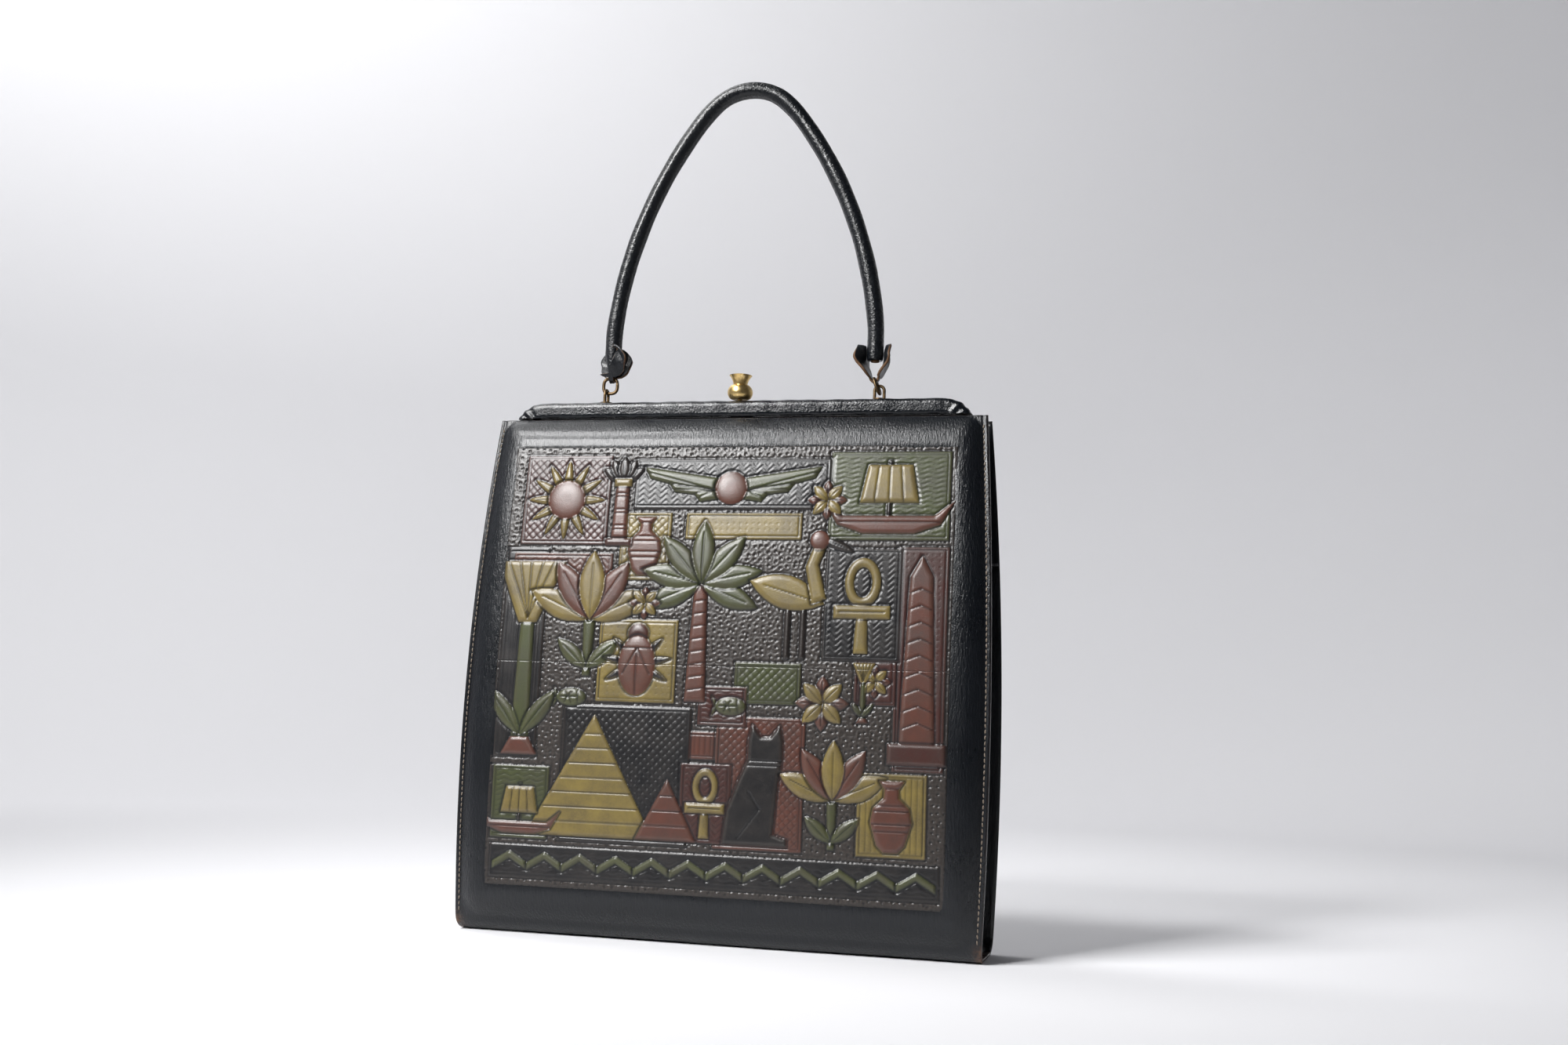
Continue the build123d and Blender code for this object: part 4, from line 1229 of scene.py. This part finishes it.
class HANDBAG_OT_side_leathers(bpy.types.Operator):
    """Side leathers that fold in between the faces, up to the hinges."""

    bl_idname = "handbag.side_leathers"
    bl_label = "Side leathers"

    seat, edge_gap, flange = 0.35 * MM, 0.3 * MM, 4.5 * MM
    fold_depth, fold_thick, wing_thick = 10 * MM, 1.2 * MM, 0.9 * MM
    # Depth of the fold as shares, against shares of the side's height
    fold_heights = (-0.04, 0, 0.18, 0.4, 0.65, 0.85, 1)
    fold_shares = (0.05, 0.2, 0.75, 1, 0.8, 0.45, 0.25)

    def execute(self, context):
        for hand, node in ((-1, "left_gusset"), (1, "right_gusset")):
            self.fold(node, hand)
            for side in (FRONT, BACK):
                self.wing(node, hand, side)
        return {"FINISHED"}

    def edge_and_face(self, z):
        """Reach of a side leather across and to a face leather, at a height above the roll."""
        face = body.depth(z) - sizes().leather - self.seat
        return body.half_width(z) - self.edge_gap, face

    def fold(self, node, hand):
        """Folded part of a side leather, from the base to the hinge."""
        low, high = (c.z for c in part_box(node))
        base_flange, foot_gap, ripple_rise = 2.0 * MM, 0.02 * MM, 0.25 * MM
        within = body.roll - sizes().leather - self.seat
        foot = body.roll - within + foot_gap
        heights = np.concatenate([np.linspace(foot, low, 10)[:-1], np.linspace(low, high, 60)])
        share = (heights - low) / (high - low)
        fold = self.fold_depth * np.interp(share, self.fold_heights, self.fold_shares)
        flanges = np.interp(heights, (foot, low), (base_flange, self.flange))
        flat = 0.16
        t = np.linspace(0, 1, 25)
        bend = np.clip((t - flat) / (1 - flat), 0, 1)
        rows = []
        for z, sink, flange in zip(heights, fold, flanges):
            edge, face = self.edge_and_face(z)
            if z < body.roll:
                face = body.roll_depth + math.sqrt(within**2 - (body.roll - z) ** 2)
            x = edge - flange * np.clip(t / flat, 0, 1) - sink * np.sin(bend * math.pi / 2) ** 1.4
            y = -face * (1 - bend**1.15)
            ripple = ripple_rise * np.sin(z * 190 + 3 * t) * bend
            half = np.stack([x + ripple, y, np.full_like(t, z)], axis=-1)
            other = half[-2::-1] * (1, -1, 1)
            rows.append(np.concatenate([half, other]))
        grid = np.array(rows)
        inner = inner_side(grid, self.fold_thick, 30, len(t) - 1)
        name = node.replace("gusset", "side_leather")
        piece = self.leather(name, grid, inner, (hand, 1, 1), hand < 0)
        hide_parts(node)
        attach(piece, "bag")

    def wing(self, node, hand, side):
        """Upper end of a side leather, from a face leather to the frame's arm."""
        lap, flat, play = 3.0 * MM, 0.3, 0.3 * MM
        low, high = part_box(node)[1].z + 0.1 * MM, SHOULDER - 1.2 * MM
        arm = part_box("back_frame")[1].x + play + self.wing_thick
        t = np.linspace(0, 1, 20)
        bend = np.clip((t - flat) / (1 - flat), 0, 1)
        rows = []
        for z in np.linspace(low, high, 40):
            edge, face = self.edge_and_face(z)
            turn = max(edge - self.flange, arm + play)
            x = edge - (edge - turn) * np.clip(t / flat, 0, 1)
            x -= (turn - arm) * np.sin(bend * math.pi / 2)
            y = face - (face - lap) * bend**1.2
            rows.append(np.stack([x, y, np.full_like(t, z)], axis=-1))
        grid = np.array(rows)
        inner = inner_side(grid, self.wing_thick, 20, -1)
        name = node.replace("gusset", "front_wing" if side == FRONT else "back_wing")
        piece = self.leather(name, grid, inner, (hand, side, 1), hand * side > 0)
        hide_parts(node)
        follow_half(piece)

    def leather(self, name, grid, inner, mirror, turned):
        """A leather drawn about the parting plane for the right side, put in its place."""
        outer, inner = (points * np.array(mirror) + (0, PARTING, 0) for points in (grid, inner))
        return shell(name, outer, inner, finish_of("face leather"), turned=turned)


class HANDBAG_OT_lining(bpy.types.Operator):
    """Cloth pouch, slit at its ends from the hinges up."""

    bl_idname = "handbag.lining"
    bl_label = "Lining"

    def execute(self, context):
        low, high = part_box("lining")
        thick, inset, hem, seam_gap, slack = 0.7 * MM, 3.8 * MM, 4 * MM, 0.12 * MM, 0.5 * MM
        half, base_rows, end_share = high.x, 5, 0.06
        side_heights = np.linspace(low.z + 1 * MM, high.z, 70)
        heights = np.concatenate([np.full(base_rows, low.z), side_heights])
        depths = body.depth(np.maximum(heights, 9 * MM)) - inset
        depths[:base_rows] = depths[base_rows] * np.linspace(0.02, 1, base_rows + 1)[:-1]
        t = np.linspace(-1, 1, 71)
        corner = np.clip((1 - np.abs(t)) / end_share, 0, 1)
        face = 1 - end_share
        x = half * np.sign(t) * np.where(np.abs(t) > face, 1, np.abs(t) / face)
        for side, name in ((FRONT, "front_lining"), (BACK, "back_lining")):
            rows = []
            for z, depth in zip(heights, depths):
                sag = slack * np.sin(t * 23 + z * 60) * np.sin(z * 95 + t * 4) * corner
                y = side * np.maximum(depth * corner + sag * (z < high.z - hem), seam_gap)
                rows.append(np.stack([x, PARTING + y, np.full_like(t, z)], axis=-1))
            grid = np.array(rows)
            inner = grid.copy()
            inner[..., 1] -= side * np.minimum(thick, np.abs(grid[..., 1] - PARTING) * 0.6)
            inner[..., 0] *= 1 - thick / half
            inner[:base_rows, :, 2] += thick
            piece = shell(name, grid, inner, finish_of("lining cloth"), turned=side == BACK)
            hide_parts("lining")
            follow_half(piece)
        return {"FINISHED"}


class HANDBAG_OT_stiffening(bpy.types.Operator):
    """Cards and wadding between leather and lining, cut into level strips."""

    bl_idname = "handbag.stiffening"
    bl_label = "Stiffening"

    bending = (
        ("front_board", "pressed card", FRONT, "card"),
        ("back_board", "pressed card", BACK, "card"),
        ("front_padding", "cotton wadding", FRONT, "wadding"),
    )
    wadding_share, cut_pitch = 0.975, 3 * MM

    def execute(self, context):
        for node, finish, side, slot in self.bending:
            mesh = frame["nodes"][node].data.copy()
            mesh.materials.clear()
            mesh.materials.append(finish_of(finish))
            piece = bpy.data.objects.new(f"bending_{node}", mesh)
            context.scene.collection.objects.link(piece)
            if slot == "wadding":
                mesh.transform(Matrix.Diagonal((self.wadding_share, 1, 1, 1)))
            with opened(mesh) as work:
                for z in np.arange(HINGE.z, SHOULDER, self.cut_pitch):
                    cut_level(work, z)
            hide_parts(node)
            follow_half(piece)
        finish_node("base_board", "pressed card")
        return {"FINISHED"}


class HANDBAG_OT_frame_covers(bpy.types.Operator):
    """Leather wrapped over both frame halves, pleated at the corners."""

    bl_idname = "handbag.frame_covers"
    bl_label = "Frame covers"

    corner = 14.0 * MM

    def path(self):
        """Outer line of the arch with its inward directions."""
        half, top, r = FRAME_HALF_WIDTH, FRAME_TOP, self.corner
        spare = 2 * MM
        right = []
        for a in np.linspace(math.asin((COVER_FOOT - spare - top + r) / r), math.pi / 2, 34):
            c, n = math.cos(a), math.sin(a)
            right.append((half - r + r * c, top - r + r * n, -c, -n))
        run = [(x, top, 0, -1) for x in np.linspace(half - r, r - half, 150)[1:-1]]
        left = [(-x, z, -dx, dz) for x, z, dx, dz in reversed(right)]
        return np.array(right + run + left)

    def section(self):
        """Section of one cover: depth from the parting plane and distance in from the arch."""
        deep, wide, edge, gap = 7.2 * MM, 7.4 * MM, 2.3 * MM, 0.28 * MM
        skin_top, skin_front = 1.25 * MM, 2.5 * MM
        outer = [(gap, 0), (1.5 * MM, 0), (3.2 * MM, -0.02 * MM)]
        for a in np.linspace(math.pi / 2, 0, 9):
            outer.append((deep - edge + edge * math.cos(a), edge - edge * math.sin(a)))
        for w in np.linspace(edge, wide - 1.6 * MM, 6)[1:]:
            outer.append((deep, w))
        outer += [(deep - 0.5 * MM, wide - 0.5 * MM), (deep - 1.4 * MM, wide)]
        inner = [(deep - skin_front, wide), (deep - skin_front, skin_top), (gap, skin_top)]
        return np.array(outer + inner)

    def execute(self, context):
        for side, node in ((FRONT, "front_frame_cover"), (BACK, "back_frame_cover")):
            grid = self.wrapped(side)
            count, columns = grid.shape[:2]
            faces = grid_faces(count, columns, wrap=True)
            if side == FRONT:
                faces = faces[:, ::-1]
            caps = [list(range(columns)), list(range((count - 1) * columns, count * columns))]
            caps[1 if side == FRONT else 0].reverse()
            name, leather = node.replace("cover", "leather"), finish_of("frame leather")
            piece = make_piece(name, grid.reshape(-1, 3), faces.tolist() + caps, leather)
            self.trim(piece)
            if side == FRONT:
                self.pierce(piece)
            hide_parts(node)
            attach(piece, "front_half" if side == FRONT else "back_half")
        return {"FINISHED"}

    def wrapped(self, side):
        """Points of a cover: its section along the arch, with dents and slanted pleats."""
        line, section = self.path(), self.section()
        middle = section.mean(axis=0)
        away = section - (middle[0] - 1.2 * MM, middle[1] + 0.8 * MM)
        away /= np.linalg.norm(away, axis=1, keepdims=True)
        skin = np.zeros(len(section))
        skin[2:-4] = 1
        walked = walked_along(line[:, :2])
        turn = np.degrees(np.arctan2(np.abs(line[:, 2]), -line[:, 3]))
        pleats = 0.24 * MM * bell(turn - 38, 18)
        fold = turn * 0.4 + 1.1 * np.sin(turn * 0.11) + 1.3 * np.sign(line[:, 0])
        slant = 2.6 * section[:, 1] / section[:, 1].max()
        dents = 0.10 * MM * np.sin(walked * 260) * np.sin(walked * 97 + 1)
        dents += 0.07 * MM * np.sin(walked * 610 + 2)
        rows = []
        for (x, z, dx, dz), pleat, phase, dent in zip(line, pleats, fold, dents):
            moved = section + away * (skin * (pleat * np.sin(phase + slant) + dent))[:, None]
            depth, inward = moved.T
            spot = [x + dx * inward, PARTING + side * depth, z + dz * inward]
            rows.append(np.stack(spot, axis=-1))
        return np.array(rows)

    def trim(self, piece):
        """The ends are cut level above the shoulders."""
        with opened(piece.data) as work:
            cut = cut_level(work, COVER_FOOT + 0.1 * MM, clear_inner=True)
            rim = [e for e in cut["geom_cut"] if isinstance(e, bmesh.types.BMEdge)]
            bmesh.ops.edgeloop_fill(work, edges=rim)
            bmesh.ops.recalc_face_normals(work, faces=work.faces[:])

    def pierce(self, piece):
        """Slot of the clasp's stem and holes of the eyelets' shanks."""
        through, radius = 8 * MM, 1.0 * MM
        slot_size = Matrix.Diagonal((3.2 * MM, 2.6 * MM, through, 1))
        slot = bmesh.new()
        bmesh.ops.create_cube(slot, size=1, matrix=slot_size)
        self.cut_away(piece, slot, 0.33 * MM)
        for node in ("left_eyelet", "right_eyelet"):
            low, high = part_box(node)
            hole = bmesh.new()
            bmesh.ops.create_cone(
                hole, cap_ends=True, segments=24, radius1=radius, radius2=radius, depth=through
            )
            self.cut_away(piece, hole, (low.x + high.x) / 2)

    def cut_away(self, piece, work, x):
        """A punch's shape is cut from the top of a cover, under the handle's axis."""
        mesh = bpy.data.meshes.new("cutter")
        work.to_mesh(mesh)
        work.free()
        tool = bpy.data.objects.new("cutter", mesh)
        bpy.context.scene.collection.objects.link(tool)
        tool.location = (x, SWING.y, FRAME_TOP)
        made = piece.modifiers.new("hole", "BOOLEAN")
        made.operation, made.object, made.solver = "DIFFERENCE", tool, "EXACT"
        bpy.context.view_layer.update()
        holed = piece.evaluated_get(bpy.context.evaluated_depsgraph_get())
        mesh = bpy.data.meshes.new_from_object(holed)
        piece.modifiers.clear()
        piece.data = mesh
        bpy.data.objects.remove(tool)


class HANDBAG_OT_handle(bpy.types.Operator):
    """Rolled handle with its seam, and the cord in it."""

    bl_idname = "handbag.handle"
    bl_label = "Handle"

    crown_radius, shoulder_radius = 22.5 * MM, 56.5 * MM
    # Slopes in degrees at which the crown, the shoulder, the long side and the foot's bend end
    ends = (42, 54, 84, 90)
    left_tip, step = 5.0 * MM, 0.7 * MM
    ring = 32

    def centre_line(self):
        """Middle line of the roll from the left foot over its crown: points and slopes."""
        low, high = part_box("handle_cover")
        s = sizes()
        top, foot, span = high.z - s.roll_radius, low.z, high.x - s.roll_radius
        a, b, c = [math.sin(math.radians(angle)) for angle in self.ends[:3]]
        lead = self.crown_radius * a + self.shoulder_radius * (1 + b - a - c)
        side_radius = (span - lead) / (c - b)
        radii = (self.crown_radius, self.shoulder_radius, side_radius, self.shoulder_radius)
        x, z, before = 0.0, top, 0.0
        points = [(0.0, top, 0.0)]
        for radius, end in zip(radii, np.radians(self.ends)):
            count = max(4, int(radius * (end - before) / self.step))
            for angle in np.linspace(before, end, count + 1)[1:]:
                px = x + radius * (math.sin(angle) - math.sin(before))
                pz = z - radius * (math.cos(before) - math.cos(angle))
                points.append((px, pz, angle))
            x, z, before = points[-1]
        count = int((z - foot) / self.step)
        points += [(x, height, math.pi / 2) for height in np.linspace(z, foot, count + 1)[1:]]
        right = np.array(points)
        left = right[:0:-1] * (-1, 1, -1)
        tip_heights = np.linspace(foot - self.left_tip, foot, 9)[:-1]
        tip = [(-x, height, -math.pi / 2) for height in tip_heights]
        return np.concatenate([tip, left, right])

    def radius_at(self, walked, length):
        """Uneven radius of the roll, tapered to the left tip and eased at both ends."""
        from_end = min(walked, length - walked)
        taper = 1 if walked > length / 2 else min(0.42 + from_end / (17 * MM), 1)
        eased = 1 - 0.12 * max(1 - from_end / (3 * MM), 0) ** 2
        swell = 0.06 * math.sin(walked * 130) + 0.05 * math.sin(walked * 310 + 1)
        crease = math.sin(walked * 2100 + 3 * math.sin(walked * 340)) * math.sin(walked * 233)
        return sizes().roll_radius * taper * eased + (swell + 0.035 * crease) * MM

    def execute(self, context):
        line, ring = self.centre_line(), self.ring
        around = np.linspace(0, 2 * math.pi, ring, endpoint=False)
        up, out = np.sin(around), np.cos(around)
        seam = np.angle(np.exp(1j * (around + math.pi / 2 + 0.25)))
        lip = -0.32 * MM * bell(seam, 0.09) + 0.1 * MM * bell(seam - 0.22, 0.12)
        walked = walked_along(line[:, :2])
        rows = []
        for (x, z, angle), w in zip(line, walked):
            reach = self.radius_at(w, walked[-1]) + lip
            px = x + reach * up * math.sin(angle)
            pz = z + reach * up * math.cos(angle)
            rows.append(np.stack([px, SWING.y + reach * out, pz], axis=-1))
        vertices = np.concatenate(rows)
        faces = grid_faces(len(line), ring, wrap=True).tolist()
        faces.append(list(range(ring))[::-1])
        faces.append(list(range(len(vertices) - ring, len(vertices))))
        piece = make_piece("handle_roll", vertices, faces, finish_of("rolled leather"))
        face_outward(piece.data)
        give(piece, "along", np.repeat(walked, ring))
        give(piece, "around", np.tile(around, len(line)))
        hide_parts("handle_cover")
        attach(piece, "handle")
        finish_node("handle_core", "brown cord")
        return {"FINISHED"}


class HANDBAG_OT_handle_tabs(bpy.types.Operator):
    """Leather tabs folded round the links, with a raw-edged ear on each side of the roll."""

    bl_idname = "handbag.handle_tabs"
    bl_label = "Handle tabs"

    # Half of the tab seen from its edge, in millimetres: depth and height over the link's top
    fold_line = (
        (0, -1.55), (1.3, -0.7), (2.0, 1.2), (3.0, 3.6),
        (4.1, 6.0), (4.3, 8.5), (4.3, 11.0), (4.4, 13.7),
    )
    ear, neck, half_thick = 7.0 * MM, 1.0 * MM, 0.55 * MM

    def execute(self, context):
        tabs = (("left_handle_tab", 0, True), ("right_handle_tab", 90, False))
        for node, turn, open_front in tabs:
            low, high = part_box(node)
            middle = Vector(((low.x + high.x) / 2, SWING.y, low.z + 2.1 * MM))
            self.tab(node, middle, math.radians(turn), open_front)
        return {"FINISHED"}

    def strip(self):
        """Line of a tab from ear to ear through the fold at the link, with its bends rounded."""
        line = np.array(self.fold_line) * MM
        t = np.linspace(0, len(line) - 1, 40)
        half = np.stack([np.interp(t, range(len(line)), line[:, k]) for k in (0, 1)], axis=-1)
        kernel = np.array((1, 2, 3, 2, 1)) / 9
        for k in (0, 1):
            padded = np.pad(half[:, k], 2, mode="reflect", reflect_type="odd")
            half[:, k] = np.convolve(padded, kernel, mode="valid")
        return np.concatenate([half[:0:-1] * (-1, 1), half])

    def half_width(self, z):
        """Half a tab's width: narrow at the link, and round at the ears."""
        wide = self.neck
        if z > 0.6 * MM:
            wide = math.sqrt(max(self.ear**2 - (z - self.ear) ** 2, self.neck**2))
        return wide * (1 + 0.05 * math.sin(z * 900))

    def tab(self, node, middle, turn, open_front):
        """One tab. An open front shows the roll's tip, and other ears curl on one side."""
        across = np.linspace(-1, 1, 25)
        slit = 2 * MM
        rows = []
        for v, z in self.strip():
            wide = self.half_width(z)
            u = across * wide
            if open_front and v < 0 and z > slit:
                start = min((z - slit) * 0.42 - 1.0 * MM, wide - 0.8 * MM)
                u = start + (wide - start) * (across + 1) / 2
            wave = 0.4 * MM * np.sin(z * 430 + across * 2.1 + (1.5 if v < 0 else 0))
            wave *= np.clip(z / (6 * MM), 0, 1)
            curl = 0.3 * MM * across**2
            if not open_front:
                u = np.where(u > 0, 0.86 * u, u)
                curl = 2.8 * MM * np.clip(-across, 0, 1) ** 1.5
            curl *= np.clip(z / (8 * MM), 0, 1)
            side = np.sign(v) if abs(v) > 1e-6 else 1
            depth = v + side * (curl + np.maximum(wave, -0.15 * MM))
            px = middle.x + u * math.cos(turn) - depth * math.sin(turn)
            py = middle.y + u * math.sin(turn) + depth * math.cos(turn)
            rows.append(np.stack([px, py, np.full_like(u, middle.z + z)], axis=-1))
        grid = np.array(rows)
        skin = normals_of(grid) * self.half_thick
        name, finishes = node.replace("handle_tab", "ear_tab"), ("tab leather", "raw edge")
        piece = shell(name, grid + skin, grid - skin, *map(finish_of, finishes))
        face_outward(piece.data)
        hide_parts(node)
        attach(piece, "handle")


class HANDBAG_OT_links(bpy.types.Operator):
    """Bent wire links, with a butt joint where each wire's ends meet."""

    bl_idname = "handbag.links"
    bl_label = "Links"

    wire = 0.7 * MM
    steps, ring, squareness = 72, 14, 2.7
    joint_step, joint_depth = 4, 0.16

    def execute(self, context):
        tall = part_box("left_link")[1].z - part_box("left_link")[0].z
        half = (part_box("right_link")[1].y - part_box("right_link")[0].y) / 2 - self.wire
        for node, turned in (("left_link", False), ("right_link", True)):
            low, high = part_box(node)
            place = Matrix.Translation((low + high) / 2)
            if turned:
                lean = math.asin((high.x - low.x - 2 * self.wire) / (tall - 2 * self.wire))
                place @= Matrix.Rotation(-lean, 4, "Y") @ Matrix.Rotation(math.pi / 2, 4, "Z")
            piece = self.link(node.replace("link", "wire_link"), half, tall / 2 - self.wire)
            piece.data.transform(place)
            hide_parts(node)
            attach(piece, "handle")
        return {"FINISHED"}

    def link(self, name, half, tall):
        """An oval of round wire that stands in the plane of the front."""
        steps, ring = self.steps, self.ring
        turns = np.linspace(0, 2 * math.pi, steps + 1)
        power = 2 / self.squareness
        x = half * np.sign(np.cos(turns)) * np.abs(np.cos(turns)) ** power
        z = tall * np.sign(np.sin(turns)) * np.abs(np.sin(turns)) ** power
        line = np.stack([x, 0 * x, z], axis=-1)
        walked = walked_along(line)
        even = np.linspace(0, walked[-1], steps, endpoint=False)
        line = np.stack([np.interp(even, walked, line[:, k]) for k in range(3)], axis=-1)
        along = np.roll(line, -1, axis=0) - np.roll(line, 1, axis=0)
        along /= np.linalg.norm(along, axis=1, keepdims=True)
        side = np.array((0, 1, 0))
        out = np.cross(along, side)
        turns = np.linspace(0, 2 * math.pi, ring, endpoint=False)[:, None]
        grip = self.wire * (1 - self.joint_depth * bell(np.arange(steps) - self.joint_step, 0.8))
        around = out[:, None] * np.cos(turns) + side * np.sin(turns)
        grid = line[:, None] + around * grip[:, None, None]
        faces = grid_faces(steps + 1, ring, wrap=True) % (steps * ring)
        return make_piece(name, grid.reshape(-1, 3), faces, finish_of("dark bronze"))


class HANDBAG_OT_metalwork(bpy.types.Operator):
    """Finishes of the frame, the clasp and the eyelets."""

    bl_idname = "handbag.metalwork"
    bl_label = "Metalwork"

    finishes = {
        "aged brass": ("clasp_knob",),
        "dark bronze": ("left_eyelet", "right_eyelet"),
        "sheet steel": (
            "front_frame", "back_frame", "left_hinge_pin", "right_hinge_pin",
            "catch_lever", "catch_pin", "catch_spring", "keeper",
            "left_eyelet_washer", "right_eyelet_washer",
        ),
    }

    def execute(self, context):
        for finish, nodes in self.finishes.items():
            for node in nodes:
                finish_node(node, finish)
                mesh = frame["nodes"][node].data
                shade_smooth(mesh)
                mesh.set_sharp_from_angle(angle=math.radians(35))
        return {"FINISHED"}


class HANDBAG_OT_stage(bpy.types.Operator):
    """Pale floor and backdrop, soft studio light and the camera."""

    bl_idname = "handbag.stage"
    bl_label = "Stage"

    camera_place = (0.1871, -0.6488, 0.0858)
    azimuth, pitch, roll = 14.36, 7.18, 2.09
    lens_pixels, image_width = 2089.5, 2000
    # Place, target, side, power and spread in degrees
    lamps = {
        "key": ((-0.5, -1.0, 0.75), (0, 0, 0.14), 0.27, 1.9, 60),
        "backdrop": ((-0.75, 0.35, 1.45), (-0.65, 1.4, 0.4), 0.8, 14, 170),
        "overhead": ((-0.46, -0.55, 0.95), (-0.03, 0, 0.2), 0.25, 1.1, 60),
    }
    paper, paper_in_front = (0.83, 0.83, 0.85), (0.24, 0.24, 0.245)

    def execute(self, context):
        scene = context.scene
        scene.view_settings.view_transform = "Standard"
        self.sweep()
        for name, settings in self.lamps.items():
            self.light(name, *settings)
        world = bpy.data.worlds.new("studio")
        scene.world = world
        world.use_nodes = True
        shade = world.node_tree.nodes["Background"]
        shade.inputs["Color"].default_value = (0.95, 0.96, 1.0, 1)
        shade.inputs["Strength"].default_value = 0.05
        self.camera(scene)
        return {"FINISHED"}

    def sweep(self):
        """Round floor that curves up into a backdrop, darker in front of the bag."""
        run, bend, rise, ring, drop = 1.0, 0.5, 2.2, 96, 0.2 * MM
        line = [(r, 0) for r in (0.001, 0.4, run)]
        for a in np.linspace(0, math.pi / 2, 16)[1:]:
            line.append((run + bend * math.sin(a), bend - bend * math.cos(a)))
        line.append((run + bend, rise))
        turns = np.linspace(0, 2 * math.pi, ring, endpoint=False)
        vertices = [(r * math.cos(t), r * math.sin(t), z - drop) for r, z in line for t in turns]
        finish = Finish("pale paper", Roughness=0.9, Specular_IOR_Level=0.1)
        behind = {0: finish.place(), 1: (-0.45, 0.9, 0)}
        behind = finish.node("ShaderNodeVectorMath", {"operation": "DOT_PRODUCT"}, behind, "Value")
        in_front = finish.span(behind, -0.25, -0.6)
        finish.set(Base_Color=finish.mix(in_front, self.paper, self.paper_in_front))
        faces = grid_faces(len(line), ring, wrap=True).tolist()
        floor = make_piece("floor", vertices, faces + [list(range(ring))], finish.material)

    def light(self, name, place, target, size, power, spread):
        """A square soft box, with a grid that keeps its light on what it faces."""
        lamp = bpy.data.lights.new(name, "AREA")
        lamp.size, lamp.energy, lamp.spread = size, power, math.radians(spread)
        made = bpy.data.objects.new(name, lamp)
        bpy.context.scene.collection.objects.link(made)
        made.location = place
        aim = Vector(target) - Vector(place)
        made.rotation_euler = aim.to_track_quat("-Z", "Y").to_euler()

    def camera(self, scene):
        """Camera at the photograph's viewing angle."""
        data = bpy.data.cameras.new("camera")
        data.sensor_width = 36.0
        data.lens = self.lens_pixels / self.image_width * data.sensor_width
        data.clip_start, data.clip_end = 0.01, 20
        made = bpy.data.objects.new("camera", data)
        scene.collection.objects.link(made)
        turn = Matrix.Rotation(math.radians(self.azimuth), 4, "Z")
        tilt = Matrix.Rotation(math.radians(90 + self.pitch), 4, "X")
        spin = Matrix.Rotation(math.radians(self.roll), 4, "Z")
        made.matrix_world = Matrix.Translation(self.camera_place) @ turn @ tilt @ spin
        scene.camera = made


OPERATORS = (
    HANDBAG_OT_front_leather,
    HANDBAG_OT_embossed_field,
    HANDBAG_OT_back_leather,
    HANDBAG_OT_side_leathers,
    HANDBAG_OT_lining,
    HANDBAG_OT_stiffening,
    HANDBAG_OT_frame_covers,
    HANDBAG_OT_handle,
    HANDBAG_OT_handle_tabs,
    HANDBAG_OT_links,
    HANDBAG_OT_metalwork,
    HANDBAG_OT_stage,
)


class HANDBAG_PT_panel(bpy.types.Panel):
    """Lists the handbag's pieces, sizes and colours."""

    bl_label = "Handbag"
    bl_idname = "HANDBAG_PT_panel"
    bl_space_type = "VIEW_3D"
    bl_region_type = "UI"
    bl_category = "Handbag"

    def draw(self, context):
        for group in (context.scene.handbag_sizes, context.scene.handbag_colours):
            for name in group.bl_rna.properties.keys():
                if name not in ("rna_type", "name"):
                    self.layout.prop(group, name)
        for operator in OPERATORS:
            self.layout.operator(operator.bl_idname)


CLASSES = (HandbagSizes, HandbagColours, *OPERATORS, HANDBAG_PT_panel)


def register():
    for item in CLASSES:
        bpy.utils.register_class(item)
    bpy.types.Scene.handbag_sizes = PointerProperty(type=HandbagSizes)
    bpy.types.Scene.handbag_colours = PointerProperty(type=HandbagColours)


def unregister():
    del bpy.types.Scene.handbag_colours
    del bpy.types.Scene.handbag_sizes
    for item in reversed(CLASSES):
        bpy.utils.unregister_class(item)


def main():
    register()
    for operator in OPERATORS:
        group, name = operator.bl_idname.split(".")
        getattr(getattr(bpy.ops, group), name)()


if __name__ == "__main__":
    main()
